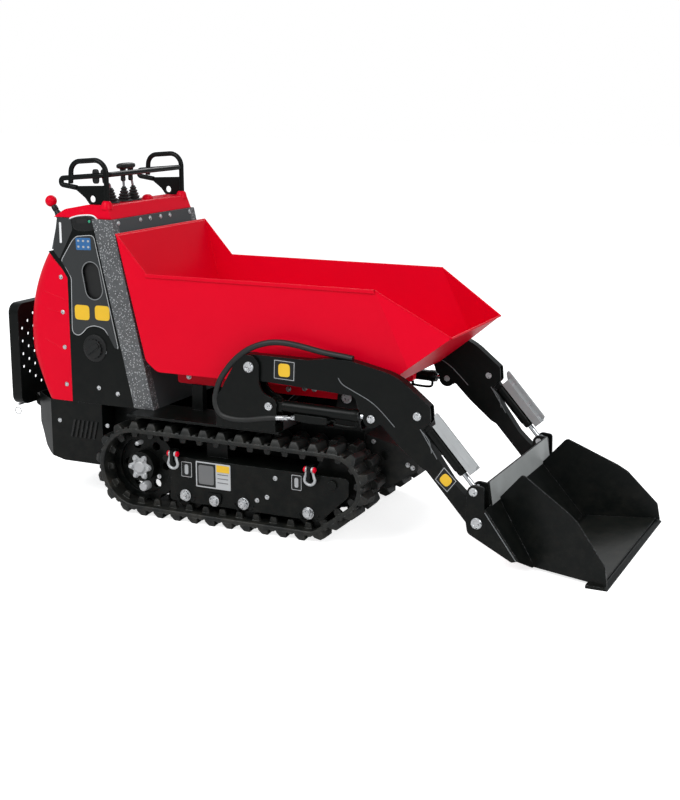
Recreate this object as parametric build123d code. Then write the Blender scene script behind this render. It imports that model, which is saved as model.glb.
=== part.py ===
from build123d import *
import math
import os
from typing import NamedTuple

# Tracked mini dumper with a self-loading shovel, in millimetres.
# +X points forwards, +Y to the left and +Z up. The origin is on the ground, under the middle
# of the machine's bounding box. Side shapes are drawn as (x, z) outlines and given a width in Y.


class Spot(NamedTuple):
    """A place in the side view."""

    x: float
    z: float


class Wheel(NamedTuple):
    """A round member that the rubber track runs over."""

    x: float
    z: float
    radius: float


# --- fits -------------------------------------------------------------------------------------
SEAT_GAP = 0.3            # between two pieces that sit against each other
BORE_GAP = 0.05           # radial, between a pin and its bore
PIVOT_GAP = 1.5           # between a swinging eye and the plate beside it
SWING_GAP = 6.0           # between pieces that move past each other
OVERCUT = 1.0             # how far a cutting shape runs past the face it cuts

# --- tracks -----------------------------------------------------------------------------------
TRACK_WIDTH = 180.0
TRACK_Y = 300.0           # middle of each track
BELT_THICKNESS = 20.0
LUG_HEIGHT = 24.0
LUG_PITCH = 72.0
LUG_ROOT_HALF = 21.0
LUG_TIP_HALF = 12.0
LUG_ROOT_DEPTH = 5.0      # how far a lug's foot reaches into the belt
FLOOR_Z = BELT_THICKNESS + LUG_HEIGHT     # inner face of the belt's lower run
SPROCKET_RADIUS = 143.0
SPROCKET = Wheel(-587.0, FLOOR_Z + SPROCKET_RADIUS, SPROCKET_RADIUS)
IDLER = Wheel(251.0, FLOOR_Z + 184.0, 100.0)
ROLLER_RADIUS = 64.0
ROLLER_Z = FLOOR_Z + ROLLER_RADIUS
FRONT_ROLLER = Wheel(153.0, ROLLER_Z, ROLLER_RADIUS)
ROLLER_XS = (-369.0, -117.0, FRONT_ROLLER.x)
RUNNING_GAP = 0.5         # wheels to the belt

# --- track frames -----------------------------------------------------------------------------
FRAME_PLATE = 8.0
FRAME_HALF_WIDTH = 74.0
FRAME_OUTER_Y = TRACK_Y + FRAME_HALF_WIDTH     # outer face of the outer plate
FRAME_INNER_Y = TRACK_Y - FRAME_HALF_WIDTH     # inner face of the inner plate
FRAME_TOP_Z = 256.0
FRAME_BOTTOM_Z = 82.0
FRAME_FRONT_X = 314.0
SPROCKET_CLEARANCE = 22.0
AXLE_RADIUS = 12.0
AXLE_HEAD_RADIUS = 17.0
AXLE_HEAD = 9.0
WHEEL_WIDTH = 86.0

# --- chassis ----------------------------------------------------------------------------------
RAIL_Y = 200.0            # outer face of each chassis side plate
RAIL_PLATE = 8.0
CHASSIS_REAR_X = -800.0
CHASSIS_FRONT_X = 300.0
BELLY_Z = 150.0
DECK_Z = 405.0            # top of the deck plates
DECK_PLATE = 8.0
DECK_REAR_X = -610.0
DECK_FRONT_X = 44.0
DECK_HALF_WIDTH = TRACK_Y + TRACK_WIDTH / 2 + 6.0
CROSS_TUBE_XS = (-300.0, 70.0)
CROSS_TUBE = 60.0
CROSS_TUBE_Z = 205.0

# --- loader arms ------------------------------------------------------------------------------
ARM_Y = DECK_HALF_WIDTH - 26.0     # middle plane of each arm and of its cylinders
ARM_WIDTH = 40.0
ARM_PIVOT = Spot(-72.0, 638.0)
LIFT_BASE = Spot(8.0, 500.0)
LIFT_ROD = Spot(408.0, 492.0)
TILT_BASE = Spot(582.0, 520.0)
TILT_ROD = Spot(796.0, 280.0)
BUCKET_PIVOT = Spot(810.0, 170.0)
MAIN_PIN_RADIUS = 15.0
CYLINDER_PIN_RADIUS = 12.0
EYE_WIDTH = 24.0
EYE_SLOT = EYE_WIDTH + 2 * PIVOT_GAP
LUG_PLATE = 10.0          # plates of the uprights and of the bucket brackets
PIN_HEAD = 7.0
PIN_HEAD_RADIUS = 20.0
LUG_REACH = ARM_WIDTH / 2 + PIVOT_GAP + LUG_PLATE     # from an arm's middle to its lugs' far faces

# --- bucket -----------------------------------------------------------------------------------
BUCKET_LIP_X = 1272.0
BUCKET_SHEET = 6.0
BUCKET_FLOOR_Z = 12.0
CUTTING_EDGE_DEPTH = 75.0
BACK_HALF_WIDTH = ARM_Y + LUG_REACH + 0.5
BEAM_HALF_WIDTH = ARM_Y - LUG_REACH - 0.5
CUTTING_EDGE_HALF_WIDTH = BACK_HALF_WIDTH + 5.0
BACK_TOP = Spot(836.0, 220.0)
BACK_FOOT = Spot(988.0, BUCKET_FLOOR_Z)
BEAM_TOP = Spot(823.0, 302.0)
BUCKET_SIDE_FOOT_Y = BACK_HALF_WIDTH - 87.0     # half width where the back meets the floor
BUCKET_FLARE = 0.30               # gain in half width per unit forwards
BUCKET_LEAN = 0.075               # loss in half width per unit upwards

# --- skip -------------------------------------------------------------------------------------
SKIP_HALF_WIDTH = 328.0
SKIP_SHEET = 4.0
SKIP_FLOOR_Z = 565.0
SKIP_RIM_Z = 938.0
SKIP_PIVOT = Spot(240.0, 518.0)
HEAD_TOP = Spot(-679.0, 1082.0)
HEAD_FOOT = Spot(-561.0, 603.0)
WING_FOOT = Spot(-552.0, SKIP_RIM_Z)
FLOOR_REAR_X = -512.0
RAMP_FOOT_X = 387.0
SPOUT = Spot(655.0, 777.0)
SPOUT_HALF_WIDTH = 264.0
KINK_TOP_X = 391.0
KINK_FOOT = Spot(520.0, 670.0)
TIP_BASE = Spot(-230.0, 300.0)
TIP_ROD = Spot(30.0, 530.0)

# --- rear body --------------------------------------------------------------------------------
BODY_HALF_WIDTH = 290.0
BODY_SHEET = 4.0
BODY_FLOOR_Z = 400.0
HOOD_FRONT_X = -938.0
CONSOLE_TOP_Z = 1131.0
STRUT_TOP = Spot(-755.0, 1108.0)
STRUT_FOOT = Spot(-594.0, 405.0)
STRUT_WIDTH = 88.0
STRUT_DEPTH = 38.0
STRUT_SHEET = 5.0
STRUT_FACE_Y = BODY_HALF_WIDTH + 11.0

# --- operator platform ------------------------------------------------------------------------
PLATFORM_HINGE = Spot(-1205.0, 345.0)
PLATFORM_HALF_WIDTH = BODY_HALF_WIDTH - 45.0
PLATFORM_FACE_X = -1226.0
PLATFORM_REAR_X = -1272.0
PLATFORM_TOP_Z = 765.0
PLATFORM_SHEET = 4.0


# --- helpers ----------------------------------------------------------------------------------
def outline(corners):
    """Closed outline from (x, z, corner radius) rows, with lines and tangent arcs."""
    runs = []
    for index, (x, z, radius) in enumerate(corners):
        here = Vector(x, z)
        before = (Vector(*corners[index - 1][:2]) - here).normalized()
        after = (Vector(*corners[(index + 1) % len(corners)][:2]) - here).normalized()
        if radius == 0:
            runs.append((here, None, here))
            continue
        half_angle = math.acos(max(-1.0, min(1.0, before.dot(after)))) / 2
        reach = radius / math.tan(half_angle)
        inwards = (before + after).normalized()
        middle = here + inwards * (radius / math.sin(half_angle) - radius)
        runs.append((here + before * reach, middle, here + after * reach))
    edges = []
    for index, (start, middle, end) in enumerate(runs):
        if middle is not None:
            edges.append(ThreePointArc(start, middle, end))
        following = runs[(index + 1) % len(runs)][0]
        if (following - end).length > 0.01:
            edges.append(Line(end, following))
    face = Face(Wire(edges))
    return face if face.normal_at().Z > 0 else -face


def slab(face, y_low, y_high):
    """Give an (x, z) outline its width in Y."""
    return extrude(Plane.XZ.offset(-y_high) * face, amount=y_high - y_low, dir=(0, -1, 0))


def block(x_low, x_high, y_low, y_high, z_low, z_high):
    """Box between two corners."""
    middle = Pos((x_low + x_high) / 2, (y_low + y_high) / 2, (z_low + z_high) / 2)
    return middle * Box(x_high - x_low, y_high - y_low, z_high - z_low)


def y_bar(spot, radius, y_low, y_high):
    """Round bar across the machine."""
    return Pos(spot.x, (y_low + y_high) / 2, spot.z) * Rot(90, 0, 0) * Cylinder(radius, y_high - y_low)


def mirrored(shape):
    """The same piece on the other side of the machine."""
    return mirror(shape, about=Plane.XZ)


def rod(start, end, radius):
    """Round bar from one (x, y, z) point to another."""
    first, last = Vector(start), Vector(end)
    section = Plane(origin=first, z_dir=last - first) * Circle(radius)
    return extrude(section, amount=(last - first).length)


def bar_between(start, end, radius, y):
    """Round bar in the side view from one spot to another."""
    return rod((start.x, y, start.z), (end.x, y, end.z), radius)


def tube(points, radius, bend):
    """Round tube along straight runs joined by bends."""
    path = FilletPolyline(*points, radius=bend)
    section = Plane(origin=path @ 0, z_dir=path % 0) * Circle(radius)
    return sweep(section, path=path)


def along(start, end, distance, rise=0.0):
    """Spot at a distance from start towards end, and rise to the left of that line."""
    length = math.dist(start, end)
    ux, uz = (end.x - start.x) / length, (end.z - start.z) / length
    return Spot(start.x + ux * distance - uz * rise, start.z + uz * distance + ux * rise)


def offset_chain(spots, distance):
    """Open chain of spots moved sideways (to its left) with mitred corners."""
    moved = [along(spots[0], spots[1], 0.0, distance)]
    for before, here, after in zip(spots, spots[1:], spots[2:]):
        a, b = along(before, here, 0.0, distance), along(here, after, 0.0, distance)
        ax, az = here.x - before.x, here.z - before.z
        bx, bz = after.x - here.x, after.z - here.z
        share = ((b.x - a.x) * bz - (b.z - a.z) * bx) / (ax * bz - az * bx)
        moved.append(Spot(a.x + ax * share, a.z + az * share))
    last = along(spots[-1], spots[-2], 0.0, -distance)
    return moved + [last]


def polygon(spots):
    """Sharp-cornered outline."""
    return outline([(spot.x, spot.z, 0) for spot in spots])


def disc(spot, radius):
    """Round (x, z) outline."""
    return Pos(spot.x, spot.z) * Circle(radius)


def ring(middle, circle, count):
    """Evenly spaced spots on a circle."""
    angles = (2 * math.pi * index / count for index in range(count))
    return [Spot(middle.x + circle * math.cos(a), middle.z + circle * math.sin(a)) for a in angles]


def bored(shape, spots, radius):
    """Bore round holes across a piece, along Y."""
    box = shape.bounding_box()
    for spot in spots:
        shape = shape - y_bar(spot, radius, box.min.Y - OVERCUT, box.max.Y + OVERCUT)
    return shape


def plates(face, *spans):
    """One plate of the same outline for each (y low, y high) span."""
    return [slab(face, low, high) for low, high in spans]


def hollowed(shape, wall, is_open):
    """Sheet of an even wall inside a solid, without the faces that is_open picks."""
    return offset(shape, amount=-wall, openings=[face for face in shape.faces() if is_open(face)])


# --- rubber tracks ----------------------------------------------------------------------------
def belt_runs(wheels, height):
    """Arcs and straight runs of a taut belt, a height outside its wheels, anticlockwise."""
    count = len(wheels)
    normals = []
    for index, wheel in enumerate(wheels):
        following = wheels[(index + 1) % count]
        dx, dz = following.x - wheel.x, following.z - wheel.z
        turn = math.acos((wheel.radius - following.radius) / math.hypot(dx, dz))
        normals.append(math.atan2(dz, dx) - turn)
    runs = []
    for index, wheel in enumerate(wheels):
        start, end = normals[index - 1], normals[index]
        while end < start:
            end += 2 * math.pi
        runs.append((wheel, wheel.radius + height, start, end))
    return runs


def rim_spot(wheel, radius, angle):
    """Spot on a circle round a wheel."""
    return Vector(wheel.x + radius * math.cos(angle), wheel.z + radius * math.sin(angle))


def belt_face(wheels, height):
    """Area inside a taut belt."""
    runs = belt_runs(wheels, height)
    edges = []
    for index, (wheel, radius, start, end) in enumerate(runs):
        middle = (start + end) / 2
        edges.append(ThreePointArc(*(rim_spot(wheel, radius, a) for a in (start, middle, end))))
        next_wheel, next_radius, next_start, _ = runs[(index + 1) % len(runs)]
        edges.append(Line(rim_spot(wheel, radius, end), rim_spot(next_wheel, next_radius, next_start)))
    return Face(Wire(edges))


def belt_stations(wheels, height, count, phase):
    """Evenly spaced places on a belt, as (point, outward direction), for its lugs."""
    runs = belt_runs(wheels, height)
    pieces = []
    for index, (wheel, radius, start, end) in enumerate(runs):
        next_wheel, next_radius, next_start, _ = runs[(index + 1) % len(runs)]
        leave, land = rim_spot(wheel, radius, end), rim_spot(next_wheel, next_radius, next_start)
        pieces.append((radius * (end - start), wheel, radius, start, end, None))
        pieces.append(((land - leave).length, wheel, radius, end, end, land - leave))
    total = sum(piece[0] for piece in pieces)
    stations = []
    for index in range(count):
        distance = (index + phase) / count * total
        for length, wheel, radius, start, end, straight in pieces:
            if distance <= length:
                break
            distance -= length
        share = distance / length
        angle = start + (end - start) * share
        point = rim_spot(wheel, radius, angle)
        if straight is not None:
            point = point + straight * share
        stations.append((point, Vector(math.cos(angle), math.sin(angle))))
    return stations


def build_track():
    """Rubber track: an endless belt with two staggered rows of lugs."""
    wheels = (SPROCKET, FRONT_ROLLER, IDLER)
    inside = belt_face(wheels, 0.0)
    outside = belt_face(wheels, BELT_THICKNESS)
    links = round(outside.outer_wire().length / LUG_PITCH)
    half = TRACK_WIDTH / 2
    rows = ((TRACK_Y - half, TRACK_Y, 0.0), (TRACK_Y, TRACK_Y + half, 0.5))
    track = None
    for y_low, y_high, phase in rows:
        face = outside
        for point, out in belt_stations(wheels, BELT_THICKNESS, links, phase):
            side = Vector(-out.Y, out.X)
            foot, tip = point - out * LUG_ROOT_DEPTH, point + out * LUG_HEIGHT
            lug = [foot - side * LUG_ROOT_HALF, tip - side * LUG_TIP_HALF,
                   tip + side * LUG_TIP_HALF, foot + side * LUG_ROOT_HALF]
            face = face + Face(Wire([Line(a, b) for a, b in zip(lug, lug[1:] + lug[:1])]))
        row = slab(face - inside, y_low, y_high)
        track = row if track is None else track + row
    return track


# --- running gear -----------------------------------------------------------------------------
SPROCKET_TEETH = 13
SPROCKET_RIM_DEPTH = 30.0
SPROCKET_RIM_WIDTH = 36.0
SPROCKET_HUB_RADIUS = 58.0
HUB_Y = TRACK_Y + 48.0    # outer face of the sprocket's hub
HUB_BOLT_CIRCLE = 39.0
HUB_BOLT_RADIUS = 9.0
HUB_HOLES = 6
BOLT_HEAD = 8.0
LIGHTENING_CIRCLE = 86.0
LIGHTENING_RADIUS = 17.0
MOTOR_RADIUS = 62.0
ROLLER_FLANGE = 19.0      # drop from a roller's flanges to its drum
IDLER_WIDTH = 34.0
IDLER_FLANGE = 12.0
SKID = Spot(-262.0, 0.0)
SKID_HALF_LENGTH = 45.0
SKID_WIDTH = 30.0
SHACKLE_PINS = (Spot(-409.0, 272.0), Spot(169.0, 280.0))
SHACKLE_Y = FRAME_OUTER_Y + 20.0
SHACKLE_PIN_RADIUS = 7.0
SHACKLE_HALF_WIDTH = 20.0
SHACKLE_DROP = 58.0
SHACKLE_BAR = 6.0
SHACKLE_EAR = 12.0
TRACK_FRAME_OUTLINE = (
    # x, z, corner radius
    (SPROCKET.x + 104.0, FRAME_TOP_Z, 12.0),
    (SPROCKET.x + 157.0, SPROCKET.z + 13.0, 90.0),
    (SPROCKET.x + 147.0, FRAME_BOTTOM_Z, 16.0),
    (FRONT_ROLLER.x + 48.0, FRAME_BOTTOM_Z, 24.0),
    (FRAME_FRONT_X, FRAME_TOP_Z - 66.0, 20.0),
    (FRAME_FRONT_X, FRAME_TOP_Z, 16.0),
)


def build_sprocket():
    """Drive sprocket: toothed rim, holed web and hub, with its bolts and the motor behind."""
    outer = SPROCKET.radius - RUNNING_GAP
    rim_inner, rim_outer = TRACK_Y - SPROCKET_RIM_WIDTH / 2, TRACK_Y + SPROCKET_RIM_WIDTH / 2
    gap_radius = math.pi * outer / SPROCKET_TEETH / 2
    rim = y_bar(SPROCKET, outer, rim_inner, rim_outer)
    rim = rim - y_bar(SPROCKET, outer - SPROCKET_RIM_DEPTH, TRACK_Y, rim_outer + OVERCUT)
    rim = bored(rim, ring(SPROCKET, outer + gap_radius / 2, SPROCKET_TEETH), gap_radius)
    rim = bored(rim, ring(SPROCKET, LIGHTENING_CIRCLE, HUB_HOLES), LIGHTENING_RADIUS)
    hub = y_bar(SPROCKET, SPROCKET_HUB_RADIUS, rim_inner, HUB_Y)
    motor = y_bar(SPROCKET, MOTOR_RADIUS, RAIL_Y + SEAT_GAP, rim_inner)
    bolts = [y_bar(spot, HUB_BOLT_RADIUS, HUB_Y, HUB_Y + BOLT_HEAD)
             for spot in ring(SPROCKET, HUB_BOLT_CIRCLE, HUB_HOLES)]
    return rim + [hub, motor] + bolts


def build_wheel(middle, radius, width, drop):
    """Double-flanged wheel with its axle through the frame plates, turned as one profile."""
    half = width / 2
    seat = FRAME_OUTER_Y + SEAT_GAP
    profile = (
        # radius, y
        (0.0, FRAME_INNER_Y),
        (AXLE_RADIUS, FRAME_INNER_Y),
        (AXLE_RADIUS, TRACK_Y - half),
        (radius, TRACK_Y - half),
        (radius, TRACK_Y - half / 2),
        (radius - drop, TRACK_Y - half / 3),
        (radius - drop, TRACK_Y + half / 3),
        (radius, TRACK_Y + half / 2),
        (radius, TRACK_Y + half),
        (AXLE_RADIUS, TRACK_Y + half),
        (AXLE_RADIUS, seat),
        (AXLE_HEAD_RADIUS, seat),
        (AXLE_HEAD_RADIUS, seat + AXLE_HEAD),
        (0.0, seat + AXLE_HEAD),
    )
    return Pos(middle.x, 0, middle.z) * revolve(make_face(Polyline(*profile, close=True)), Axis.Y)


def build_rollers():
    """The bottom rollers of one track."""
    return Compound([build_wheel(Spot(x, ROLLER_Z), ROLLER_RADIUS - RUNNING_GAP, WHEEL_WIDTH, ROLLER_FLANGE)
                     for x in ROLLER_XS])


def build_track_frame():
    """Roller frame inside a track: two profiled plates, a top web, a skid and two lifting ears."""
    shape = outline(TRACK_FRAME_OUTLINE)
    inner = FRAME_INNER_Y + FRAME_PLATE
    outer = FRAME_OUTER_Y - FRAME_PLATE
    frame = slab(shape, outer, FRAME_OUTER_Y)
    frame = frame + slab(shape, FRAME_INNER_Y, inner)
    web_front = IDLER.x - IDLER.radius - SWING_GAP
    web_rear = SPROCKET.x + SPROCKET.radius
    frame = frame + block(web_rear, web_front, inner - OVERCUT, outer + OVERCUT,
                          FRAME_TOP_Z - FRAME_PLATE, FRAME_TOP_Z)
    belt_z = SPROCKET.z + SPROCKET.radius
    frame = frame + block(SKID.x - SKID_HALF_LENGTH, SKID.x + SKID_HALF_LENGTH,
                          TRACK_Y - SKID_WIDTH / 2, TRACK_Y + SKID_WIDTH / 2,
                          FRAME_TOP_Z - OVERCUT, belt_z - 3 * RUNNING_GAP)
    for pin in SHACKLE_PINS:
        frame = frame + block(pin.x - SHACKLE_EAR / 2, pin.x + SHACKLE_EAR / 2, outer,
                              SHACKLE_Y + 2 * SHACKLE_PIN_RADIUS,
                              FRAME_TOP_Z - 2 * SHACKLE_PIN_RADIUS, pin.z + 2 * SHACKLE_PIN_RADIUS)
        frame = frame - x_bar(pin, SHACKLE_Y, SHACKLE_PIN_RADIUS + BORE_GAP, SHACKLE_EAR)
    axles = [Spot(x, ROLLER_Z) for x in ROLLER_XS] + [Spot(IDLER.x, IDLER.z)]
    return bored(frame, axles, AXLE_RADIUS + BORE_GAP)


def x_bar(spot, y, radius, half_length):
    """Round bar along the machine."""
    return Pos(spot.x, y, spot.z) * Rot(0, 90, 0) * Cylinder(radius, 2 * half_length)


def build_shackles():
    """Lifting shackles: a bow and its pin on each ear of a track frame."""
    shackles = []
    for pin in SHACKLE_PINS:
        left, right = pin.x - SHACKLE_HALF_WIDTH, pin.x + SHACKLE_HALF_WIDTH
        turn_z = pin.z - SHACKLE_DROP + SHACKLE_HALF_WIDTH
        path = Wire([
            Line((left, SHACKLE_Y, pin.z), (left, SHACKLE_Y, turn_z)),
            ThreePointArc((left, SHACKLE_Y, turn_z), (pin.x, SHACKLE_Y, pin.z - SHACKLE_DROP),
                          (right, SHACKLE_Y, turn_z)),
            Line((right, SHACKLE_Y, turn_z), (right, SHACKLE_Y, pin.z)),
        ])
        bow = sweep(Plane(origin=path @ 0, z_dir=path % 0) * Circle(SHACKLE_BAR), path=path)
        bar = x_bar(pin, SHACKLE_Y, SHACKLE_PIN_RADIUS, SHACKLE_HALF_WIDTH + 2 * SHACKLE_BAR)
        shackles.append(bow + bar)
    return Compound([mirrored(s) for s in shackles] + shackles)


# --- chassis ----------------------------------------------------------------------------------
SKIP_RAIL_Y = 200.0               # middle of each rail under the skip
SKIP_RAIL_WIDTH = 32.0
SKIP_RAIL_BOTTOM_Z = 505.0
SKIP_PIN_RADIUS = 14.0
SKIP_EAR = 10.0
SKIP_EAR_GAP = 4.0
SKIP_EAR_HALF = 34.0
SKIP_LUG_RADIUS = 30.0
REST_X = -400.0
REST_HALF_LENGTH = 24.0
REST_WIDTH = 30.0
TIP_EYE_RADIUS = 18.0
TIP_CLEVIS = 34.0
SHELF_REAR_X = 150.0


def skip_ear_spans():
    """The (y low, y high) of the two ears beside one skip rail."""
    half = SKIP_RAIL_WIDTH / 2 + SKIP_EAR_GAP
    return ((SKIP_RAIL_Y - half - SKIP_EAR, SKIP_RAIL_Y - half),
            (SKIP_RAIL_Y + half, SKIP_RAIL_Y + half + SKIP_EAR))


def build_chassis_side():
    """Side plate with the deck over its track, cross-tube stubs, skip rest and hinge ears."""
    inner = RAIL_Y - RAIL_PLATE
    plate = block(CHASSIS_REAR_X, CHASSIS_FRONT_X, inner, RAIL_Y, BELLY_Z, DECK_Z)
    deck = block(DECK_REAR_X, DECK_FRONT_X, inner, DECK_HALF_WIDTH, DECK_Z - DECK_PLATE, DECK_Z)
    ears = skip_ear_spans()
    shelf = block(SHELF_REAR_X, CHASSIS_FRONT_X, ears[0][0], ears[1][1], DECK_Z - DECK_PLATE, DECK_Z)
    rest = block(REST_X - REST_HALF_LENGTH, REST_X + REST_HALF_LENGTH,
                 SKIP_RAIL_Y - REST_WIDTH / 2 + RAIL_PLATE, SKIP_RAIL_Y + REST_WIDTH / 2 + RAIL_PLATE,
                 DECK_Z - OVERCUT, SKIP_RAIL_BOTTOM_Z - SEAT_GAP)
    side = plate + [deck, shelf, rest]
    for x in CROSS_TUBE_XS:
        side = side + block(x - CROSS_TUBE / 2, x + CROSS_TUBE / 2, RAIL_Y - OVERCUT,
                            FRAME_INNER_Y - SEAT_GAP, CROSS_TUBE_Z - CROSS_TUBE / 2,
                            CROSS_TUBE_Z + CROSS_TUBE / 2)
    ear = outline((
        # x, z, corner radius
        (SKIP_PIVOT.x - SKIP_EAR_HALF, SKIP_PIVOT.z + SKIP_PIN_RADIUS * 2, 26.0),
        (SKIP_PIVOT.x - SKIP_EAR_HALF - 20, DECK_Z - OVERCUT, 0.0),
        (SKIP_PIVOT.x + SKIP_EAR_HALF + 20, DECK_Z - OVERCUT, 0.0),
        (SKIP_PIVOT.x + SKIP_EAR_HALF, SKIP_PIVOT.z + SKIP_PIN_RADIUS * 2, 26.0),
    ))
    side = side + [bored(e, [SKIP_PIVOT], SKIP_PIN_RADIUS + BORE_GAP) for e in plates(ear, *ears)]
    return side


def build_belly():
    """Belly plate, end walls and the clevis of the tipping cylinder."""
    inner = RAIL_Y - RAIL_PLATE - SEAT_GAP
    belly = block(CHASSIS_REAR_X, CHASSIS_FRONT_X, -inner, inner, BELLY_Z, BELLY_Z + RAIL_PLATE)
    wall_top = DECK_Z - DECK_PLATE - SEAT_GAP
    for x in (CHASSIS_REAR_X, CHASSIS_FRONT_X - RAIL_PLATE):
        belly = belly + block(x, x + RAIL_PLATE, -inner, inner, BELLY_Z, wall_top)
    clevis = outline((
        # x, z, corner radius
        (TIP_BASE.x - TIP_CLEVIS, TIP_BASE.z + TIP_CLEVIS, 28.0),
        (TIP_BASE.x - 2 * TIP_CLEVIS, BELLY_Z + OVERCUT, 0.0),
        (TIP_BASE.x + 2 * TIP_CLEVIS, BELLY_Z + OVERCUT, 0.0),
        (TIP_BASE.x + TIP_CLEVIS, TIP_BASE.z + TIP_CLEVIS, 28.0),
    ))
    half = EYE_SLOT / 2
    ears = plates(clevis, (half, half + RAIL_PLATE), (-half - RAIL_PLATE, -half))
    return bored(belly + ears, [TIP_BASE], CYLINDER_PIN_RADIUS + BORE_GAP)


# --- uprights and arms ------------------------------------------------------------------------
UPRIGHT_OUTLINE = (
    # x, z, corner radius
    (ARM_PIVOT.x - 40.0, ARM_PIVOT.z + 44.0, 42.0),
    (ARM_PIVOT.x + 42.0, ARM_PIVOT.z + 44.0, 42.0),
    (ARM_PIVOT.x + 38.0, ARM_PIVOT.z - 90.0, 60.0),
    (LIFT_BASE.x + 32.0, LIFT_BASE.z + 26.0, 24.0),
    (LIFT_BASE.x + 26.0, DECK_Z + 27.0, 10.0),
    (ARM_PIVOT.x - 140.0, DECK_Z + 27.0, 14.0),
    (ARM_PIVOT.x - 150.0, DECK_Z + 81.0, 60.0),
)
ARM_OUTLINE = (
    # x, z, corner radius
    (ARM_PIVOT.x - 46.0, ARM_PIVOT.z + 46.0, 46.0),
    (160.0, 681.0, 60.0),
    (240.0, 694.0, 120.0),
    (330.0, 692.0, 150.0),
    (505.0, 655.0, 220.0),
    (628.0, 556.0, 14.0),
    (632.0, 505.0, 10.0),
    (597.0, 466.0, 0.0),
    (712.0, 306.0, 40.0),
    (830.0, 198.0, 0.0),
    (785.0, 143.0, 0.0),
    (618.0, 330.0, 20.0),
    (597.0, 340.0, 20.0),
    (509.0, 413.0, 60.0),
    (446.0, 475.0, 0.0),
    (400.0, 475.0, 0.0),
    (360.0, 520.0, 14.0),
    (344.0, 568.0, 24.0),
    (129.0, 580.0, 60.0),
    (ARM_PIVOT.x - 46.0, ARM_PIVOT.z - 46.0, 46.0),
)
ARM_EYE_RADIUS = 36.0
LIFT_LUG_RADIUS = 32.0
LIFT_EYE_RADIUS = 22.0
TILT_EYE_RADIUS = 18.0
UPRIGHT_WEB_Z = 560.0


def lug_spans():
    """The (y low, y high) of the two plates on either side of an arm."""
    near = LUG_REACH - LUG_PLATE
    return ((ARM_Y - LUG_REACH, ARM_Y - near), (ARM_Y + near, ARM_Y + LUG_REACH))


def build_upright():
    """Arm support: two plates on a foot block, closed behind by a web."""
    shape = outline(UPRIGHT_OUTLINE)
    spans = lug_spans()
    upright = plates(shape, *spans)
    foot_top = DECK_Z + 27.0
    foot = block(ARM_PIVOT.x - 140, LIFT_BASE.x + 26, spans[0][0], spans[1][1], DECK_Z + SEAT_GAP, foot_top)
    web = block(ARM_PIVOT.x - 144, ARM_PIVOT.x - 134, spans[0][0], spans[1][1], foot_top, UPRIGHT_WEB_Z)
    web = web & slab(shape, spans[0][0], spans[1][1])
    upright = foot + upright + [web]
    upright = bored(upright, [ARM_PIVOT], MAIN_PIN_RADIUS + BORE_GAP)
    return bored(upright, [LIFT_BASE], CYLINDER_PIN_RADIUS + BORE_GAP)


def headed_pin(spot, radius, y_low, y_high):
    """Pin with a round head on its outer end."""
    pin = y_bar(spot, radius, y_low, y_high + SEAT_GAP)
    return pin + y_bar(spot, max(PIN_HEAD_RADIUS, radius + 5), y_high + SEAT_GAP, y_high + SEAT_GAP + PIN_HEAD)


def build_pivot_pins():
    """Pins of the arms, of the lift cylinders, of the skip and of the tipping cylinder."""
    inner, outer = lug_spans()
    pins = [headed_pin(ARM_PIVOT, MAIN_PIN_RADIUS, inner[0], outer[1]),
            headed_pin(LIFT_BASE, CYLINDER_PIN_RADIUS, inner[0], outer[1])]
    ears = skip_ear_spans()
    pins.append(headed_pin(SKIP_PIVOT, SKIP_PIN_RADIUS, ears[0][0], ears[1][1]))
    reach = EYE_SLOT / 2 + RAIL_PLATE
    return Compound(pins + [mirrored(pin) for pin in pins] +
                    [headed_pin(TIP_BASE, CYLINDER_PIN_RADIUS, -reach, reach)])


def build_arm():
    """Loader arm, forked where the lift rod and the tilt cylinder are pinned."""
    half = ARM_WIDTH / 2
    face = outline(ARM_OUTLINE) + disc(BUCKET_PIVOT, ARM_EYE_RADIUS) + disc(LIFT_ROD, LIFT_LUG_RADIUS)
    arm = slab(face, ARM_Y - half, ARM_Y + half)
    slot_half = EYE_SLOT / 2
    fork = polygon([
        Spot(LIFT_ROD.x - 90, LIFT_ROD.z - 80), Spot(LIFT_ROD.x + 36, LIFT_ROD.z - 80),
        Spot(LIFT_ROD.x + 36, LIFT_ROD.z), Spot(LIFT_ROD.x + 20, LIFT_ROD.z + 30),
        Spot(LIFT_ROD.x - 90, LIFT_ROD.z + 30)])
    arm = arm - slab(fork, ARM_Y - slot_half, ARM_Y + slot_half)
    nose = disc(TILT_BASE, TILT_EYE_RADIUS + SWING_GAP) + polygon([
        along(TILT_BASE, TILT_ROD, 0, -TILT_EYE_RADIUS - SWING_GAP),
        along(TILT_BASE, TILT_ROD, 90, -TILT_EYE_RADIUS - SWING_GAP),
        along(TILT_BASE, TILT_ROD, 90, 80),
        along(TILT_BASE, TILT_ROD, 0, 80)])
    arm = arm - slab(nose, ARM_Y - slot_half, ARM_Y + slot_half)
    arm = bored(arm, [ARM_PIVOT, BUCKET_PIVOT], MAIN_PIN_RADIUS + BORE_GAP)
    return bored(arm, [LIFT_ROD, TILT_BASE], CYLINDER_PIN_RADIUS + BORE_GAP)


def split_pin(spot, fork_low, fork_high, eye_half):
    """The two ends of a pin whose middle is part of the rod's eye, each with its head."""
    middle = (fork_low + fork_high) / 2
    outer = headed_pin(spot, CYLINDER_PIN_RADIUS, middle + eye_half, fork_high)
    inner = y_bar(spot, CYLINDER_PIN_RADIUS, fork_low, middle - eye_half)
    return [outer, inner]


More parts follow.
